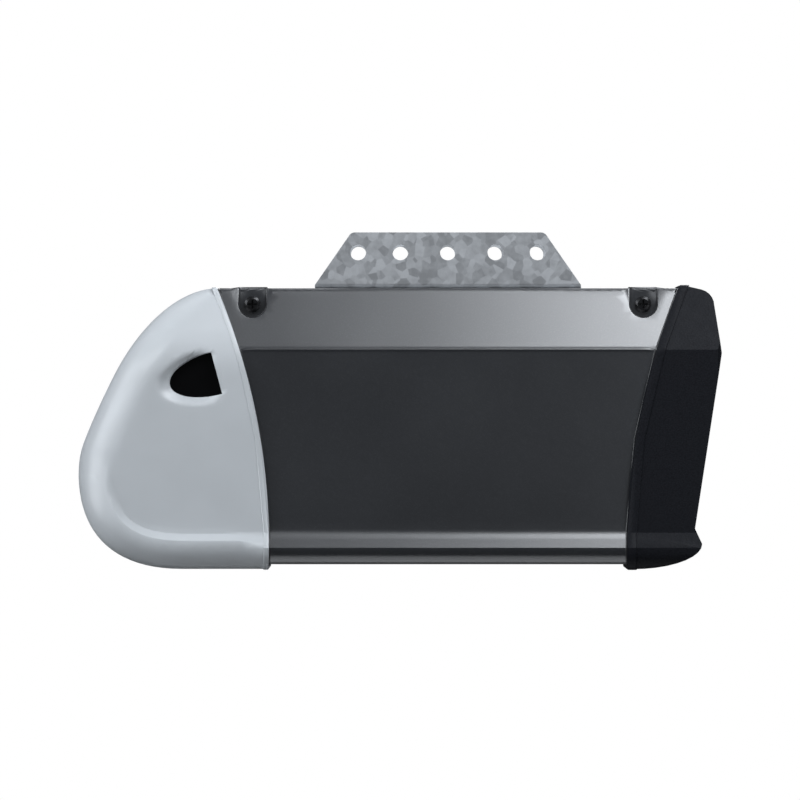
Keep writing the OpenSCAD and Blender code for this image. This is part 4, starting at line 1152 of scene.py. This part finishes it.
@dataclass
class RailStuds:
    """The two threaded studs that the chain rail bolts down on."""

    shop: Workshop
    pitch: float = 132.0
    radius: float = 3.97
    top: float = 14.5
    bottom: float = -1.9
    thread: float = 1.41
    head_r: float = 7.0
    head_t: float = 2.2
    around: int = 20

    def build(self) -> None:
        """Makes both studs with their threads and carriage heads."""
        made = bmesh.new()
        for end in (-1, 1):
            self.stud(made, end * self.pitch / 2)
        self.shop.piece("rail_studs_threaded", made, Slot.ZINC_SCREW, "housing", ["rail_studs"])

    def stud(self, made: bmesh.types.BMesh, x: float) -> None:
        """Adds one stud.

        Args:
            made: The mesh that takes the stud.
            x: The stud's place along the object.
        """
        def thread_radius(z: float, turn: float) -> float:
            """Radius of the thread at a height and a turn about the stud.

            Args:
                z: Height.
                turn: Place round the axis, in turns.

            Returns:
                The radius.
            """
            phase = (z / self.thread - turn) % 1.0
            runout = min(1.0, max(0.0, (z - 1.0) / 1.0)) * min(1.0, max(0.0, (self.top - z) / 0.8))
            return self.radius - 0.75 * abs(2 * phase - 1) * runout

        heights = [self.bottom, 1.0]
        heights += [1.0 + self.thread / 4 * i for i in range(1, int((self.top - 1.0) / self.thread * 4))]
        rows = [self.ring(made, x, z, lambda t, z=z: thread_radius(z, t)) for z in heights]
        rows.append(self.ring(made, x, self.top - 0.5, lambda t: self.radius - 0.5))
        rows.append(self.ring(made, x, self.top, lambda t: self.radius - 1.1))
        low = self.bottom - self.head_t
        head = [self.ring(made, x, self.bottom, lambda t: self.head_r),
                self.ring(made, x, self.bottom - 0.8, lambda t: self.head_r),
                self.ring(made, x, self.bottom - 1.6, lambda t: self.head_r - 1.2),
                self.ring(made, x, low, lambda t: self.head_r - 3.2)]
        for rings in (rows, head):
            for a, b in zip(rings, rings[1:]):
                for i in range(self.around):
                    j = (i + 1) % self.around
                    made.faces.new((a[i], a[j], b[j], b[i]))
            made.faces.new(rings[0])
            made.faces.new(rings[-1])

    def ring(self, made: bmesh.types.BMesh, x: float, z: float,
             radius: Callable[[float], float]) -> list[bmesh.types.BMVert]:
        """A ring of vertices about a stud's axis, at a height.

        Args:
            made: The mesh that takes the ring.
            x: The stud's place along the object.
            z: Height of the ring.
            radius: Gives the radius at a place round the axis, in turns.

        Returns:
            The vertices, in order round the axis.
        """
        turns = [i / self.around for i in range(self.around)]
        return [made.verts.new(((x + radius(t) * math.cos(math.tau * t)) * MM,
                                radius(t) * math.sin(math.tau * t) * MM, z * MM)) for t in turns]


@dataclass
class FormedParts:
    """Sheet, cast and moulded parts whose CAD shape is right and whose edges are rolled here."""

    shop: Workshop
    edges: dict[str, float] = field(default_factory=lambda: {
        "hanging_flange_front": 0.35, "hanging_flange_back": 0.35, "chassis_plate": 0.3,
        "flange_rivets": 0.7, "cover_screws": 0.4, "chassis_screws": 0.3, "lamp_panel": 0.5,
        "release_tab_front": 0.7, "release_tab_back": 0.7, "lamp_socket": 0.8, "sprocket": 0.45,
        "sprocket_shaft": 0.5, "bearing_housing": 0.7, "button_up": 0.6, "button_adjust": 0.6,
        "button_down": 0.6, "button_learn": 0.7, "terminal_block": 0.5, "terminal_lever_a": 0.5,
        "terminal_lever_b": 0.5, "terminal_lever_c": 0.5, "terminal_lever_d": 0.5, "cord_gland": 0.7,
        "run_capacitor": 1.0, "transformer": 0.6, "gear_bracket": 0.4, "motor_bell_front": 1.0,
        "motor_bell_rear": 1.0, "travel_case": 0.6})

    def build(self) -> None:
        """Makes a rolled-edge copy of each part."""
        for node, edge in self.edges.items():
            self.shop.softened(node, edge)


@dataclass
class Studio:
    """Camera, soft lights, pale floor and white surroundings. Its sizes are metres."""

    distance: float = 10.0
    view_x: float = -0.0288
    view_z: float = -0.0672
    view_w: float = 0.48
    face_y: float = -0.1
    floor_z: float = -0.85
    floor_r: float = 0.4
    lamp_colour: Colour = (0.92, 0.955, 1.0)
    surround_colour: Colour = (0.93, 0.96, 1.0)
    surround_strength: float = 0.07

    def camera(self) -> None:
        """Places a level camera square to the front face."""
        data = bpy.data.cameras.new("camera")
        data.sensor_width = 36.0
        data.lens = data.sensor_width * self.distance / self.view_w
        data.clip_start, data.clip_end = 0.1, 100.0
        made = bpy.data.objects.new("camera", data)
        made.location = (self.view_x, self.face_y - self.distance, self.view_z)
        made.rotation_euler = (math.radians(90), 0, 0)
        bpy.context.scene.collection.objects.link(made)
        bpy.context.scene.camera = made

    def softbox(self, name: str, place: tuple[float, float, float], size: Point, watts: float,
                aim: tuple[float, float, float] = (0.0, 0.0, -0.08)) -> None:
        """Hangs an area light.

        Args:
            name: The light's name.
            place: Its middle.
            size: Its width and height.
            watts: Its power.
            aim: The point that it faces.
        """
        data = bpy.data.lights.new(name, "AREA")
        data.shape = "RECTANGLE"
        data.size, data.size_y = size
        data.energy = watts
        data.color = self.lamp_colour
        made = bpy.data.objects.new(name, data)
        made.location = place
        made.rotation_euler = (Vector(aim) - Vector(place)).to_track_quat("-Z", "Y").to_euler()
        bpy.context.scene.collection.objects.link(made)

    def floor(self) -> None:
        """Lays a pale floor well below the object."""
        made = bmesh.new()
        bmesh.ops.create_circle(made, cap_ends=True, radius=self.floor_r, segments=96)
        data = bpy.data.meshes.new("floor")
        made.to_mesh(data)
        made.free()
        shader = Shader("pale_floor")
        shader.use("Base Color", shader.mix(shader.noise(300.0), (0.84, 0.84, 0.84), (0.88, 0.88, 0.88)))
        shader.use("Roughness", 0.8)
        data.materials.append(shader.material)
        ground = bpy.data.objects.new("floor", data)
        ground.location = (0, 0, self.floor_z)
        bpy.context.scene.collection.objects.link(ground)

    def surroundings(self) -> None:
        """White to look at, and a dim cool grey as light on the object."""
        world = bpy.data.worlds.new("surroundings")
        bpy.context.scene.world = world
        world.use_nodes = True
        tree = world.node_tree
        tree.nodes.clear()
        seen = tree.nodes.new("ShaderNodeBackground")
        seen.inputs["Color"].default_value = (1, 1, 1, 1)
        light = tree.nodes.new("ShaderNodeBackground")
        light.inputs["Color"].default_value = (*self.surround_colour, 1)
        light.inputs["Strength"].default_value = self.surround_strength
        choice = tree.nodes.new("ShaderNodeMixShader")
        path = tree.nodes.new("ShaderNodeLightPath")
        out = tree.nodes.new("ShaderNodeOutputWorld")
        tree.links.new(path.outputs["Is Camera Ray"], choice.inputs[0])
        tree.links.new(light.outputs[0], choice.inputs[1])
        tree.links.new(seen.outputs[0], choice.inputs[2])
        tree.links.new(choice.outputs[0], out.inputs["Surface"])

    def build(self) -> None:
        """Sets up lights, floor and surroundings."""
        bpy.context.scene.view_settings.view_transform = "Standard"
        self.surroundings()
        self.floor()
        self.softbox("key", (0.48, -0.72, 0.80), (0.75, 0.6), 15.0, (0.1, 0.0, -0.05))
        self.softbox("fill_left", (-1.35, -0.45, 0.25), (1.0, 1.0), 15.0, (-0.15, 0.0, -0.08))
        self.softbox("front", (-0.9, -1.3, 0.75), (0.8, 0.8), 10.0)
        self.softbox("overhead", (0.0, 0.1, 1.2), (1.3, 0.35), 4.0, (0.0, 0.0, 0.0))
        self.softbox("back_rim", (0.5, 1.1, 0.7), (0.9, 0.5), 10.0)
        self.softbox("side_front", (0.75, -1.6, -0.02), (0.5, 0.3), 1.6)
        LOG.info("studio: six softboxes, floor and surroundings")


def main() -> None:
    """Builds the studio, dresses the CAD nodes, and makes each group of pieces in turn."""
    logging.basicConfig(level=logging.INFO, format="%(name)s: %(message)s")
    studio = Studio()
    studio.camera()
    studio.build()
    shop = Workshop()
    shop.dress_nodes()
    FormedParts(shop).build()
    Cover(shop).build()
    Lens(shop).build()
    EndCap(shop).build()
    RailStuds(shop).build()


if __name__ == "__main__":
    main()
